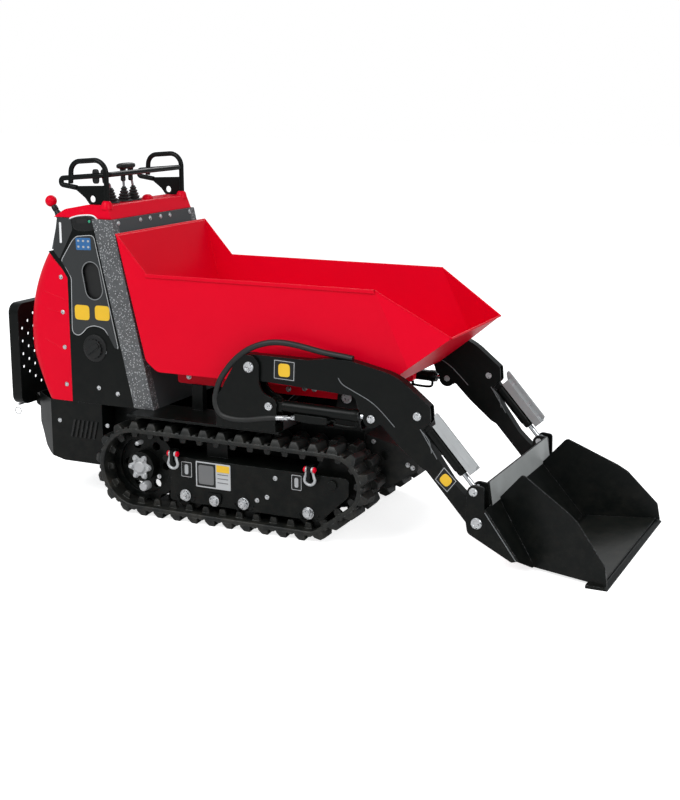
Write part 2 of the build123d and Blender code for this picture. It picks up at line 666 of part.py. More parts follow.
def build_arm_pins():
    """Pins in the arms: the lift rods' ends and the tilt cylinders' bases."""
    low, high = ARM_Y - ARM_WIDTH / 2, ARM_Y + ARM_WIDTH / 2
    pins = split_pin(LIFT_ROD, low, high, EYE_SLOT / 2)
    pins.append(headed_pin(TILT_BASE, CYLINDER_PIN_RADIUS, low, high))
    return Compound(pins + [mirrored(pin) for pin in pins])


# --- hydraulic cylinders ----------------------------------------------------------------------
class Ram(NamedTuple):
    """A hydraulic cylinder in the side view; its lengths run from the pin at its base."""

    base: Spot
    tip: Spot
    y: float
    barrel_radius: float
    barrel_start: float
    barrel_end: float
    rod_radius: float
    rod_inner_end: float      # where the rod starts inside the barrel
    bore_start: float
    base_eye_radius: float
    base_eye_width: float
    rod_eye_radius: float


LIFT_RAM = Ram(base=LIFT_BASE, tip=LIFT_ROD, y=ARM_Y, barrel_radius=22.0, barrel_start=46.0, barrel_end=350.0,
               rod_radius=11.0, rod_inner_end=51.0, bore_start=48.0, base_eye_radius=26.0,
               base_eye_width=ARM_WIDTH, rod_eye_radius=LIFT_EYE_RADIUS)
TILT_RAM = Ram(base=TILT_BASE, tip=TILT_ROD, y=ARM_Y, barrel_radius=17.0, barrel_start=75.0, barrel_end=250.0,
               rod_radius=9.0, rod_inner_end=128.0, bore_start=80.0, base_eye_radius=TILT_EYE_RADIUS,
               base_eye_width=EYE_WIDTH, rod_eye_radius=TILT_EYE_RADIUS)
TIP_RAM = Ram(base=TIP_BASE, tip=TIP_ROD, y=0.0, barrel_radius=22.0, barrel_start=58.0, barrel_end=262.0,
              rod_radius=11.0, rod_inner_end=74.0, bore_start=66.0, base_eye_radius=22.0,
              base_eye_width=EYE_WIDTH, rod_eye_radius=TIP_EYE_RADIUS)
NECK_SHARE = 0.7          # half height of a base eye's neck, as a share of the eye's radius
GUARD_START = 60.0
GUARD_END = 270.0
GUARD_LOW = 22.0
GUARD_HIGH = 52.0
GUARD_SHEET = 4.0
GUARD_STANDOFFS = (100.0, 230.0)
STANDOFF_HALF_LENGTH = 6.0
STANDOFF_HALF_WIDTH = 8.0


def on_ram(ram, *places):
    """Outline from (distance along, distance beside) places on a cylinder's axis."""
    return polygon([along(ram.base, ram.tip, distance, rise) for distance, rise in places])


def build_barrel(ram):
    """Cylinder barrel with its base eye, bored for the pin and for the rod."""
    near, far = (along(ram.base, ram.tip, s) for s in (ram.barrel_start, ram.barrel_end))
    barrel = bar_between(near, far, ram.barrel_radius, ram.y)
    bore_ends = (along(ram.base, ram.tip, s) for s in (ram.bore_start, ram.barrel_end + OVERCUT))
    bore = bar_between(*bore_ends, ram.rod_radius + BORE_GAP, ram.y)
    neck = ram.base_eye_radius * NECK_SHARE
    reach = ram.barrel_start + OVERCUT
    face = disc(ram.base, ram.base_eye_radius) + on_ram(ram, (0, neck), (reach, neck), (reach, -neck), (0, -neck))
    half = ram.base_eye_width / 2
    return bored(barrel - bore + slab(face, ram.y - half, ram.y + half), [ram.base],
                 CYLINDER_PIN_RADIUS + BORE_GAP)


def build_rod(ram, pin_reach):
    """Piston rod from inside its barrel to its eye, with the middle part of the pin."""
    rod = bar_between(along(ram.base, ram.tip, ram.rod_inner_end), ram.tip, ram.rod_radius, ram.y)
    half = EYE_WIDTH / 2
    eye = y_bar(ram.tip, ram.rod_eye_radius, ram.y - half, ram.y + half)
    return rod + [eye, y_bar(ram.tip, CYLINDER_PIN_RADIUS, ram.y - pin_reach, ram.y + pin_reach)]


def both_sides(shape):
    """A left-hand piece and its mirrored twin, as separate solids."""
    return Compound([shape, mirrored(shape)])


def build_lift_barrels():
    """Barrels of the lift cylinders."""
    return both_sides(build_barrel(LIFT_RAM))


def build_lift_rods():
    """Rods of the lift cylinders."""
    return both_sides(build_rod(LIFT_RAM, EYE_SLOT / 2 - SEAT_GAP))


def build_tilt_barrels():
    """Barrels of the bucket's cylinders, with the standoffs of their guards."""
    barrel = build_barrel(TILT_RAM)
    low, high = TILT_RAM.barrel_radius - STANDOFF_HALF_LENGTH, GUARD_HIGH - GUARD_SHEET - SEAT_GAP
    for middle in GUARD_STANDOFFS:
        rear, front = middle - STANDOFF_HALF_LENGTH, middle + STANDOFF_HALF_LENGTH
        post = on_ram(TILT_RAM, (rear, low), (front, low), (front, high), (rear, high))
        barrel = barrel + slab(post, ARM_Y - STANDOFF_HALF_WIDTH, ARM_Y + STANDOFF_HALF_WIDTH)
    return both_sides(barrel)


def build_tilt_guards():
    """Folded channels over the bucket's cylinders."""
    half = ARM_WIDTH / 2
    outside = on_ram(TILT_RAM, (GUARD_START, GUARD_LOW), (GUARD_END, GUARD_LOW),
                     (GUARD_END, GUARD_HIGH), (GUARD_START, GUARD_HIGH))
    low, high = GUARD_LOW - OVERCUT, GUARD_HIGH - GUARD_SHEET
    start, end = GUARD_START - OVERCUT, GUARD_END + OVERCUT
    inside = on_ram(TILT_RAM, (start, low), (end, low), (end, high), (start, high))
    guard = slab(outside, ARM_Y - half, ARM_Y + half)
    return both_sides(guard - slab(inside, ARM_Y - half + GUARD_SHEET, ARM_Y + half - GUARD_SHEET))


def build_tilt_rods():
    """Rods of the bucket's cylinders."""
    return both_sides(build_rod(TILT_RAM, ARM_WIDTH / 2 + PIVOT_GAP - SEAT_GAP))


def build_tip_barrel():
    """Barrel of the skip's cylinder."""
    return build_barrel(TIP_RAM)


def build_tip_rod():
    """Rod of the skip's cylinder."""
    return build_rod(TIP_RAM, EYE_SLOT / 2 - SEAT_GAP)


# --- bucket -----------------------------------------------------------------------------------
BUCKET_SIDE_OUTLINE = (
    # x, z, corner radius
    (BACK_TOP.x, BACK_TOP.z, 0.0),
    (928.0, 325.0, 16.0),
    (1111.0, 228.0, 60.0),
    (1149.0, 202.0, 30.0),
    (1258.0, 76.0, 14.0),
    (BUCKET_LIP_X - 4.0, BUCKET_FLOOR_Z, 0.0),
    (BACK_FOOT.x, BACK_FOOT.z, 0.0),
)
BEAM_PLATE = 8.0
BRACKET_SEAT = 206.0      # how far the brackets reach down the back plate
BACK_FOOT_HALF_WIDTH = BUCKET_SIDE_FOOT_Y + 10.0
BRACKET_OUTLINE = (
    # x, z, corner radius
    (774.0, 306.0, 26.0),
    (834.0, 300.0, 12.0),
)


def bucket_width_cut(solid, inset, keep):
    """Cut a solid along the plane of the bucket's left side, moved in by an inset."""
    normal = Vector(-BUCKET_FLARE, 1.0, BUCKET_LEAN).normalized()
    origin = Vector(BACK_FOOT.x, BUCKET_SIDE_FOOT_Y, 0.0) - normal * inset
    return split(solid, bisect_by=Plane(origin=origin, z_dir=normal), keep=keep)


def between_bucket_sides(solid, inset):
    """The part of a solid that lies between the bucket's two flared sides."""
    solid = bucket_width_cut(solid, inset, Keep.BOTTOM)
    return mirrored(bucket_width_cut(mirrored(solid), inset, Keep.BOTTOM))


def build_bucket_shell():
    """Bucket: flared sides, floor, wide back plate and the beam above it."""
    reach = CUTTING_EDGE_HALF_WIDTH
    side = bucket_width_cut(slab(outline(BUCKET_SIDE_OUTLINE), 0, reach), 0.0, Keep.BOTTOM)
    side = bucket_width_cut(side, BUCKET_SHEET, Keep.TOP)
    floor = slab(polygon([BACK_FOOT, Spot(BUCKET_LIP_X - 20, BUCKET_FLOOR_Z),
                          Spot(BUCKET_LIP_X - 20, BUCKET_FLOOR_Z + BUCKET_SHEET),
                          Spot(BACK_FOOT.x, BUCKET_FLOOR_Z + BUCKET_SHEET)]), -reach, reach)
    floor = between_bucket_sides(floor, BUCKET_SHEET / 2)
    back = slab(polygon([BACK_TOP, BACK_FOOT, along(BACK_FOOT, BACK_TOP, 0.0, -BUCKET_SHEET),
                         along(BACK_TOP, BACK_FOOT, 0.0, BUCKET_SHEET)]), -BACK_HALF_WIDTH, BACK_HALF_WIDTH)
    corner_z = along(BACK_TOP, BACK_FOOT, BRACKET_SEAT).z
    rise, run = corner_z - BACK_FOOT.z, BACK_HALF_WIDTH - BACK_FOOT_HALF_WIDTH
    chamfer = Plane(origin=(0, BACK_FOOT_HALF_WIDTH, BACK_FOOT.z), z_dir=(0, rise, -run))
    back = split(back, bisect_by=chamfer, keep=Keep.BOTTOM)
    back = mirrored(split(mirrored(back), bisect_by=chamfer, keep=Keep.BOTTOM))
    beam = slab(polygon([BACK_TOP, along(BACK_TOP, BEAM_TOP, 0.0, -BEAM_PLATE),
                         along(BEAM_TOP, BACK_TOP, 0.0, BEAM_PLATE), BEAM_TOP]),
                -BEAM_HALF_WIDTH, BEAM_HALF_WIDTH)
    return back + [floor, side, mirrored(side), beam]


def build_bucket_brackets():
    """Four plates behind the bucket, for the arms' pins and the tilt rods' pins."""
    seat = (along(BACK_TOP, BACK_FOOT, 0.0, -SEAT_GAP), along(BACK_TOP, BACK_FOOT, BRACKET_SEAT, -SEAT_GAP))
    rows = BRACKET_OUTLINE + (
        (seat[0].x, seat[0].z, 0.0),
        (seat[1].x, seat[1].z, 0.0),
        (seat[1].x - 20.0, seat[1].z - 6.0, 10.0),
        (BUCKET_PIVOT.x - 34.0, BUCKET_PIVOT.z - 40.0, 24.0),
        (BUCKET_PIVOT.x - 42.0, BUCKET_PIVOT.z + 10.0, 20.0),
    )
    solids = []
    for plate in plates(outline(rows), *lug_spans()):
        plate = bored(plate, [BUCKET_PIVOT], MAIN_PIN_RADIUS + BORE_GAP)
        solids.append(bored(plate, [TILT_ROD], CYLINDER_PIN_RADIUS + BORE_GAP))
    return Compound(solids + [mirrored(solid) for solid in solids])


def build_bucket_pins():
    """Pins in the bucket's brackets."""
    inner, outer = lug_spans()
    pins = [headed_pin(BUCKET_PIVOT, MAIN_PIN_RADIUS, inner[0], outer[1])]
    pins += split_pin(TILT_ROD, inner[0], outer[1], ARM_WIDTH / 2 + PIVOT_GAP)
    return Compound(pins + [mirrored(pin) for pin in pins])


def build_cutting_edge():
    """Wear plate under the front of the bucket's floor."""
    top = BUCKET_FLOOR_Z - SEAT_GAP
    edge = outline((
        # x, z, corner radius
        (BUCKET_LIP_X - CUTTING_EDGE_DEPTH, 0.0, 0.0),
        (BUCKET_LIP_X, 0.0, 0.0),
        (BUCKET_LIP_X, 3.0, 0.0),
        (BUCKET_LIP_X - 14.0, top, 0.0),
        (BUCKET_LIP_X - CUTTING_EDGE_DEPTH, top, 0.0),
    ))
    return slab(edge, -CUTTING_EDGE_HALF_WIDTH, CUTTING_EDGE_HALF_WIDTH)


# --- skip -------------------------------------------------------------------------------------
SKIP_CORNER = 45.0
SKIP_HEM = 12.0
SKIP_HEM_REACH = 5.0
SKIP_RAIL_REAR_X = -490.0
SKIP_RAIL_FRONT_X = 330.0
SKIP_LUG_PLATE = 8.0
SKIP_CROSS_HALF = 46.0


def skip_form(inset, overrun):
    """Solid inside the skip's sheet; an overrun lifts its top clear, to cut the skip open."""
    chain = offset_chain([HEAD_TOP, HEAD_FOOT, Spot(FLOOR_REAR_X, SKIP_FLOOR_Z),
                          Spot(RAMP_FOOT_X, SKIP_FLOOR_Z), SPOUT], inset)
    corner = SKIP_CORNER - inset
    first, last = along(chain[0], chain[1], -overrun), along(chain[-1], chain[-2], -overrun)
    rows = [(first.x, first.z, 0.0), (chain[1].x, chain[1].z, corner), (chain[2].x, chain[2].z, corner),
            (chain[3].x, chain[3].z, 0.0), (last.x, last.z, 0.0),
            (KINK_TOP_X, SKIP_RIM_Z + overrun, 0.0), (WING_FOOT.x, WING_FOOT.z + overrun, 0.0)]
    solid = slab(outline(rows), -SKIP_HALF_WIDTH + inset, SKIP_HALF_WIDTH - inset)
    down = Vector(KINK_FOOT.x - KINK_TOP_X, 0, KINK_FOOT.z - SKIP_RIM_Z)
    out = Vector(SPOUT.x - KINK_TOP_X, SPOUT_HALF_WIDTH - SKIP_HALF_WIDTH, SPOUT.z - SKIP_RIM_Z)
    normal = out.cross(down).normalized()
    if normal.Y < 0:
        normal = normal * -1
    origin = Vector(KINK_TOP_X, SKIP_HALF_WIDTH, SKIP_RIM_Z) - normal * inset
    kink = Plane(origin=origin, z_dir=normal)
    solid = split(solid, bisect_by=kink, keep=Keep.BOTTOM)
    return mirrored(split(mirrored(solid), bisect_by=kink, keep=Keep.BOTTOM))


def build_skip_tub():
    """Tipping skip: one sheet with a leaning headboard, a ramp and folded front corners."""
    tub = skip_form(0.0, 0.0) - skip_form(SKIP_SHEET, SKIP_HEM * 8)
    hem = block(WING_FOOT.x, KINK_TOP_X, SKIP_HALF_WIDTH - SKIP_SHEET / 2, SKIP_HALF_WIDTH + SKIP_HEM_REACH,
                SKIP_RIM_Z - SKIP_HEM, SKIP_RIM_Z)
    return tub + [hem, mirrored(hem)]


def build_skip_rails():
    """Rails under the skip with the hinge lugs, and the ears of the tipping cylinder."""
    top = SKIP_FLOOR_Z - SEAT_GAP
    low, high = SKIP_RAIL_Y - SKIP_RAIL_WIDTH / 2, SKIP_RAIL_Y + SKIP_RAIL_WIDTH / 2
    side = outline((
        # x, z, corner radius
        (SKIP_RAIL_REAR_X, top, 0.0),
        (SKIP_RAIL_REAR_X, SKIP_RAIL_BOTTOM_Z, 10.0),
        (SKIP_RAIL_FRONT_X, SKIP_RAIL_BOTTOM_Z, 10.0),
        (SKIP_RAIL_FRONT_X, top, 0.0),
    )) + disc(SKIP_PIVOT, SKIP_LUG_RADIUS)
    rail = bored(slab(side, low, high), [SKIP_PIVOT], SKIP_PIN_RADIUS + BORE_GAP)
    cross_low = top - SKIP_LUG_PLATE
    cross = block(TIP_ROD.x - SKIP_CROSS_HALF, TIP_ROD.x + SKIP_CROSS_HALF, -low - OVERCUT, low + OVERCUT,
                  cross_low, top)
    ear = outline((
        # x, z, corner radius
        (TIP_ROD.x - 40.0, cross_low + OVERCUT, 0.0),
        (TIP_ROD.x - 20.0, TIP_ROD.z - TIP_EYE_RADIUS, 14.0),
        (TIP_ROD.x + 20.0, TIP_ROD.z - TIP_EYE_RADIUS, 14.0),
        (TIP_ROD.x + 40.0, cross_low + OVERCUT, 0.0),
    ))
    half = EYE_SLOT / 2
    ears = plates(ear, (half, half + SKIP_LUG_PLATE), (-half - SKIP_LUG_PLATE, -half))
    ears = [bored(plate, [TIP_ROD], CYLINDER_PIN_RADIUS + BORE_GAP) for plate in ears]
    return rail + [mirrored(rail), cross] + ears


def build_skip_pins():
    """The two ends of the pin at the tipping cylinder's rod."""
    reach = EYE_SLOT / 2 + SKIP_LUG_PLATE
    return Compound(split_pin(TIP_ROD, -reach, reach, EYE_SLOT / 2))


# --- rear body --------------------------------------------------------------------------------
TRAY_TOP_Z = BODY_FLOOR_Z
TRAY_BOTTOM_Z = 152.0
TRAY_OUTLINE = (
    # x, z, corner radius
    (-1165.0, TRAY_TOP_Z, 0.0),
    (-1165.0, 276.0, 10.0),
    (-1137.0, 235.0, 30.0),
    (-1112.0, 192.0, 20.0),
    (-1074.0, 172.0, 30.0),
    (-990.0, TRAY_BOTTOM_Z, 60.0),
    (CHASSIS_REAR_X - SEAT_GAP, TRAY_BOTTOM_Z, 0.0),
    (CHASSIS_REAR_X - SEAT_GAP, TRAY_TOP_Z, 0.0),
)
TRAY_CHAMFER_X = -1046.0
TRAY_REAR_HALF_WIDTH = BODY_HALF_WIDTH - 85.0
BEARER_TOP_Z = 200.0
BEARER_FOOT_Z = 176.0
ENGINE_HALF_WIDTH = 150.0
ENGINE_X = (-1090.0, -830.0)
ENGINE_TOP_Z = 640.0
HOOD_CREST = Spot(-1063.0, 978.0)         # top, middle and foot of the hood's rounded rear
HOOD_BULGE = Spot(-1152.0, 690.0)
HOOD_HEEL = Spot(-1096.0, TRAY_TOP_Z)
HOOD_TOP = Spot(-1028.0, 992.0)
HOOD_NECK = Spot(-962.0, 930.0)
HOOD_SHOULDER_Z = 895.0
HOOD_CORNER = 70.0
PANEL_SHEET = 6.0
BACK_FOOT_EDGE = Spot(-1024.0, 1004.0)    # rear face of the console's rear moulding
BACK_TOP_EDGE = Spot(-989.0, CONSOLE_TOP_Z)
BACK_DEPTH = 38.0
BACK_CORNER = 34.0
COVER_PEAK_Z = 1184.0
TOP_COVER_OUTLINE = (
    # x, z, corner radius
    (BACK_TOP_EDGE.x - 4.0, CONSOLE_TOP_Z + SEAT_GAP, 0.0),
    (BACK_TOP_EDGE.x + 51.0, COVER_PEAK_Z - 20.0, 60.0),
    (BACK_TOP_EDGE.x + 158.0, COVER_PEAK_Z, 60.0),
    (STRUT_TOP.x + 12.0, COVER_PEAK_Z, 8.0),
    (STRUT_TOP.x + 33.0, CONSOLE_TOP_Z + SEAT_GAP, 0.0),
)
OVAL_MIDDLE = Spot(-821.0, 891.0)
OVAL_HALF_LENGTH = 71.0
OVAL_RADIUS = 37.0
OVAL_TILT = 10.0
HINGE_PIN_RADIUS = 8.0
HINGE_EAR_RADIUS = 16.0
HINGE_EARS = (100.0, 150.0)
HINGE_EAR_PLATE = 8.0


def build_rear_tray():
    """Tray under the engine, open on top, with engine bearers and the platform's hinge ears."""
    solid = slab(outline(TRAY_OUTLINE), -BODY_HALF_WIDTH, BODY_HALF_WIDTH)
    plan = Polyline((0, BODY_HALF_WIDTH), (TRAY_CHAMFER_X, BODY_HALF_WIDTH), (TRAY_OUTLINE[0][0], TRAY_REAR_HALF_WIDTH),
                    (TRAY_OUTLINE[0][0], -TRAY_REAR_HALF_WIDTH), (TRAY_CHAMFER_X, -BODY_HALF_WIDTH),
                    (0, -BODY_HALF_WIDTH), close=True)
    solid = solid & extrude(make_face(plan), amount=TRAY_TOP_Z)
    tray = hollowed(solid, BODY_SHEET, lambda face: face.normal_at().Z > 0.9)
    for y in (-120.0, 120.0):
        tray = tray + block(ENGINE_X[0], ENGINE_X[1], y - 15, y + 15, BEARER_FOOT_Z, BEARER_TOP_Z - SEAT_GAP)
        tray = tray + block(ENGINE_X[0] + 100, ENGINE_X[1], y - 15, y + 15, TRAY_BOTTOM_Z, BEARER_FOOT_Z + OVERCUT)
    wall_x = TRAY_OUTLINE[0][0]
    ear = disc(PLATFORM_HINGE, HINGE_EAR_RADIUS) + polygon([
        Spot(wall_x + OVERCUT, PLATFORM_HINGE.z + 40), Spot(PLATFORM_HINGE.x, PLATFORM_HINGE.z + HINGE_EAR_RADIUS),
        Spot(PLATFORM_HINGE.x, PLATFORM_HINGE.z - HINGE_EAR_RADIUS), Spot(wall_x + OVERCUT, PLATFORM_HINGE.z - 50)])
    for side in (-1, 1):
        spans = [sorted((side * y, side * (y + HINGE_EAR_PLATE))) for y in HINGE_EARS]
        tray = tray + plates(ear, *spans)
        ends = sorted((side * HINGE_EARS[0], side * (HINGE_EARS[1] + HINGE_EAR_PLATE)))
        tray = tray + y_bar(PLATFORM_HINGE, HINGE_PIN_RADIUS, *ends)
    return tray


def build_engine():
    """Engine and pump as one block."""
    return block(ENGINE_X[0], ENGINE_X[1], -ENGINE_HALF_WIDTH, ENGINE_HALF_WIDTH, BEARER_TOP_Z, ENGINE_TOP_Z)


def hood_form(inset, overrun):
    """Solid inside the hood's sheet: a bulging rear with rounded vertical corners."""
    bottom, front = TRAY_TOP_Z + SEAT_GAP, HOOD_FRONT_X - SEAT_GAP
    curve = ThreePointArc((HOOD_CREST.x + inset, HOOD_CREST.z - inset), (HOOD_BULGE.x + inset, HOOD_BULGE.z),
                          (HOOD_HEEL.x + inset, bottom - overrun))
    shoulder = [Spot(front, HOOD_SHOULDER_Z), Spot(HOOD_NECK.x - SEAT_GAP, HOOD_NECK.z),
                Spot(HOOD_TOP.x, HOOD_TOP.z - inset)]
    crest = Spot(HOOD_CREST.x + inset, HOOD_CREST.z - inset)
    slope = (shoulder[2].z - crest.z) / (shoulder[2].x - crest.x)
    top_end = Spot(front + overrun, crest.z + slope * (front + overrun - crest.x))
    edges = [
        curve,
        Line(curve @ 1, (front + overrun, bottom - overrun)),
        Line((front + overrun, bottom - overrun), top_end),
        Line(top_end, curve @ 0),
    ]
    form = slab(Face(Wire(edges)), -BODY_HALF_WIDTH + inset, BODY_HALF_WIDTH - inset)
    corners = [edge for edge in form.edges() if edge.geom_type == GeomType.CIRCLE]
    form = fillet(corners, HOOD_CORNER - inset)
    notch = [Spot(spot.x + overrun, spot.z) for spot in shoulder]
    notch += [Spot(notch[2].x, CONSOLE_TOP_Z), Spot(notch[0].x + HOOD_CORNER, CONSOLE_TOP_Z),
              Spot(notch[0].x + HOOD_CORNER, HOOD_SHOULDER_Z)]
    return form - slab(polygon(notch), -BODY_HALF_WIDTH, BODY_HALF_WIDTH)


def build_hood():
    """Rear hood, open in front and below."""
    return hood_form(0.0, 0.0) - hood_form(BODY_SHEET, 60.0)


def strut_line(z, rise):
    """Spot on a line beside the strut's middle, at a height."""
    share = (STRUT_TOP.z - z) / (STRUT_TOP.z - STRUT_FOOT.z)
    length = math.dist(STRUT_TOP, STRUT_FOOT)
    across = rise * length / (STRUT_TOP.z - STRUT_FOOT.z)
    return Spot(STRUT_TOP.x + (STRUT_FOOT.x - STRUT_TOP.x) * share + across, z)


def build_strut():
    """Folded channel that carries the console, with its flanges inwards."""
    top, foot = CONSOLE_TOP_Z, DECK_Z + SEAT_GAP
    half = STRUT_WIDTH / 2

    def side(edge, overrun):
        return polygon([strut_line(top + overrun, -edge), strut_line(foot - overrun, -edge),
                        strut_line(foot - overrun, edge), strut_line(top + overrun, edge)])
    strut = slab(side(half, 0.0), STRUT_FACE_Y - STRUT_DEPTH, STRUT_FACE_Y)
    return strut - slab(side(half - STRUT_SHEET, OVERCUT), STRUT_FACE_Y - STRUT_DEPTH - OVERCUT,
                        STRUT_FACE_Y - STRUT_SHEET)


def build_side_panel():
    """Side panel of the engine bay, following the hood's edge, with its oval opening."""
    bottom = TRAY_TOP_Z + SEAT_GAP
    half = STRUT_WIDTH / 2 + SEAT_GAP
    shape = polygon([
        Spot(HOOD_FRONT_X, bottom), strut_line(bottom, -half), strut_line(CONSOLE_TOP_Z, -half),
        Spot(BACK_TOP_EDGE.x + BACK_DEPTH + SEAT_GAP, CONSOLE_TOP_Z),
        Spot(BACK_FOOT_EDGE.x + BACK_DEPTH + SEAT_GAP, BACK_FOOT_EDGE.z - SEAT_GAP),
        Spot(BACK_FOOT_EDGE.x + BACK_CORNER, BACK_FOOT_EDGE.z - SEAT_GAP), Spot(HOOD_TOP.x + 4, HOOD_TOP.z + 4),
        HOOD_NECK, Spot(HOOD_FRONT_X, HOOD_SHOULDER_Z)])
    panel = slab(shape, BODY_HALF_WIDTH - PANEL_SHEET, BODY_HALF_WIDTH)
    oval = Pos(OVAL_MIDDLE.x, OVAL_MIDDLE.z) * Rot(0, 0, 90 + OVAL_TILT) * SlotOverall(
        2 * OVAL_HALF_LENGTH, 2 * OVAL_RADIUS)
    return panel - slab(oval, BODY_HALF_WIDTH - PANEL_SHEET - OVERCUT, BODY_HALF_WIDTH + OVERCUT)


def build_console_front():
    """Plate between the struts, behind the skip's headboard."""
    top, foot = CONSOLE_TOP_Z, DECK_Z + SEAT_GAP
    near = STRUT_WIDTH / 2 - STRUT_SHEET
    half = STRUT_FACE_Y - STRUT_DEPTH - SEAT_GAP
    shape = polygon([strut_line(top, near), strut_line(foot, near),
                     strut_line(foot, near + STRUT_SHEET), strut_line(top, near + STRUT_SHEET)])
    return slab(shape, -half, half)


def console_back_x(z):
    """Rear face of the console's rear moulding at a height."""
    share = (z - BACK_FOOT_EDGE.z) / (BACK_TOP_EDGE.z - BACK_FOOT_EDGE.z)
    return BACK_FOOT_EDGE.x + (BACK_TOP_EDGE.x - BACK_FOOT_EDGE.x) * share


def build_console_back():
    """Moulding that closes the console above the hood, rounded at its two rear corners."""
    solid = slab(polygon([BACK_FOOT_EDGE, BACK_TOP_EDGE, Spot(BACK_TOP_EDGE.x + BACK_DEPTH, BACK_TOP_EDGE.z),
                          Spot(BACK_FOOT_EDGE.x + BACK_DEPTH, BACK_FOOT_EDGE.z)]),
                 -BODY_HALF_WIDTH, BODY_HALF_WIDTH)
    corners = [edge for edge in solid.edges()
               if abs(edge.tangent_at().Y) < 0.5 and abs(edge.tangent_at().Z) > 0.5
               and edge.center().X < (BACK_FOOT_EDGE.x + BACK_TOP_EDGE.x) / 2 + OVERCUT]
    solid = fillet(corners, BACK_CORNER)
    return hollowed(solid, BODY_SHEET, lambda face: face.normal_at().X > 0.9 or abs(face.normal_at().Z) > 0.9)


def build_top_cover():
    """Moulded cover over the console, open below."""
    half = BODY_HALF_WIDTH - 2.0
    solid = slab(outline(TOP_COVER_OUTLINE), -half, half)
    return hollowed(solid, BODY_SHEET, lambda face: face.normal_at().Z < -0.9)


# --- controls ---------------------------------------------------------------------------------
LEVER_X = -797.0
BELLOWS_YS = (-178.0, -88.0, -24.0)
BELLOWS_FOOT_RADIUS = 30.0
BELLOWS_TIP_RADIUS = 9.0
BELLOWS_HEIGHT = 52.0
STICK_RADIUS = 5.0
GRIP_Z = 1318.0
SINGLE_GRIP_Y = -222.0
SINGLE_GRIP_Z = 1290.0
KNOB_FOOT = Spot(-1008.0, 1112.0)
KNOB_BOSS_RADIUS = 10.0
KNOB = Spot(-1053.0, 1185.0)
KNOB_Y = 70.0 - BODY_HALF_WIDTH
KNOB_RADIUS = 23.0
TUBE_RADIUS = 10.0
GUARD_Y = BODY_HALF_WIDTH - 20.0
GUARD_FRONT = Spot(-753.0, 1298.0)
GUARD_REAR_X = -962.0
HAIRPIN_TOP_Z = 1280.0
HAIRPIN_LOW_Z = 1256.0
HAIRPIN_END = Spot(-890.0, 1246.0)
LOOP_TOP_Z = 1356.0
LOOP_CORNER = Spot(-912.0, 1344.0)
LOOP_REAR = Spot(-918.0, 1262.0)
LOOP_BENDS = (50.0, 44.0)
GUARD_PLATE = 6.0
LIFT_HOLE = Spot(-817.0, 1205.0)
LIFT_HOLE_RADIUS = 13.0


def build_levers():
    """Control levers: rubber bellows, sticks and grips on the top cover."""
    foot = COVER_PEAK_Z + SEAT_GAP
    solids = []
    height = BELLOWS_HEIGHT
    tops = ((SINGLE_GRIP_Y, SINGLE_GRIP_Z), (BELLOWS_YS[1], GRIP_Z), (BELLOWS_YS[2], GRIP_Z))
    for y, (top_y, top_z) in zip(BELLOWS_YS, tops):
        cone = Pos(LEVER_X, y, foot + height / 2) * Cone(BELLOWS_FOOT_RADIUS, BELLOWS_TIP_RADIUS, height)
        solids.append(cone + rod((LEVER_X, y, foot + height - OVERCUT), (LEVER_X, top_y, top_z), STICK_RADIUS))
    grip = Pos(LEVER_X, (BELLOWS_YS[1] + BELLOWS_YS[2]) / 2, GRIP_Z) * Box(30, 110, 14)
    grip = fillet(grip.edges().filter_by(Axis.Z), 14)
    pair = solids[1] + [solids[2], grip]
    handle = Pos(LEVER_X, SINGLE_GRIP_Y, SINGLE_GRIP_Z) * Box(26, 22, 60)
    return Compound([pair, solids[0] + handle])


def build_knob_lever():
    """Throttle lever on a boss behind the console, with its round knob."""
    length = math.dist(KNOB_FOOT, KNOB)
    stick = bar_between(KNOB_FOOT, along(KNOB_FOOT, KNOB, length - KNOB_RADIUS / 2), STICK_RADIUS + 2, KNOB_Y)
    axis = Vector(KNOB.x - KNOB_FOOT.x, 0, KNOB.z - KNOB_FOOT.z)
    knob = Plane(origin=(KNOB.x, KNOB_Y, KNOB.z), z_dir=axis) * Sphere(KNOB_RADIUS)
    seat_x = console_back_x(KNOB_FOOT.z - KNOB_BOSS_RADIUS) - SEAT_GAP
    boss = block(KNOB_FOOT.x - KNOB_BOSS_RADIUS, seat_x, KNOB_Y - KNOB_BOSS_RADIUS, KNOB_Y + KNOB_BOSS_RADIUS,
                 KNOB_FOOT.z - KNOB_BOSS_RADIUS, KNOB_FOOT.z + KNOB_BOSS_RADIUS)
    return boss + [stick, knob]


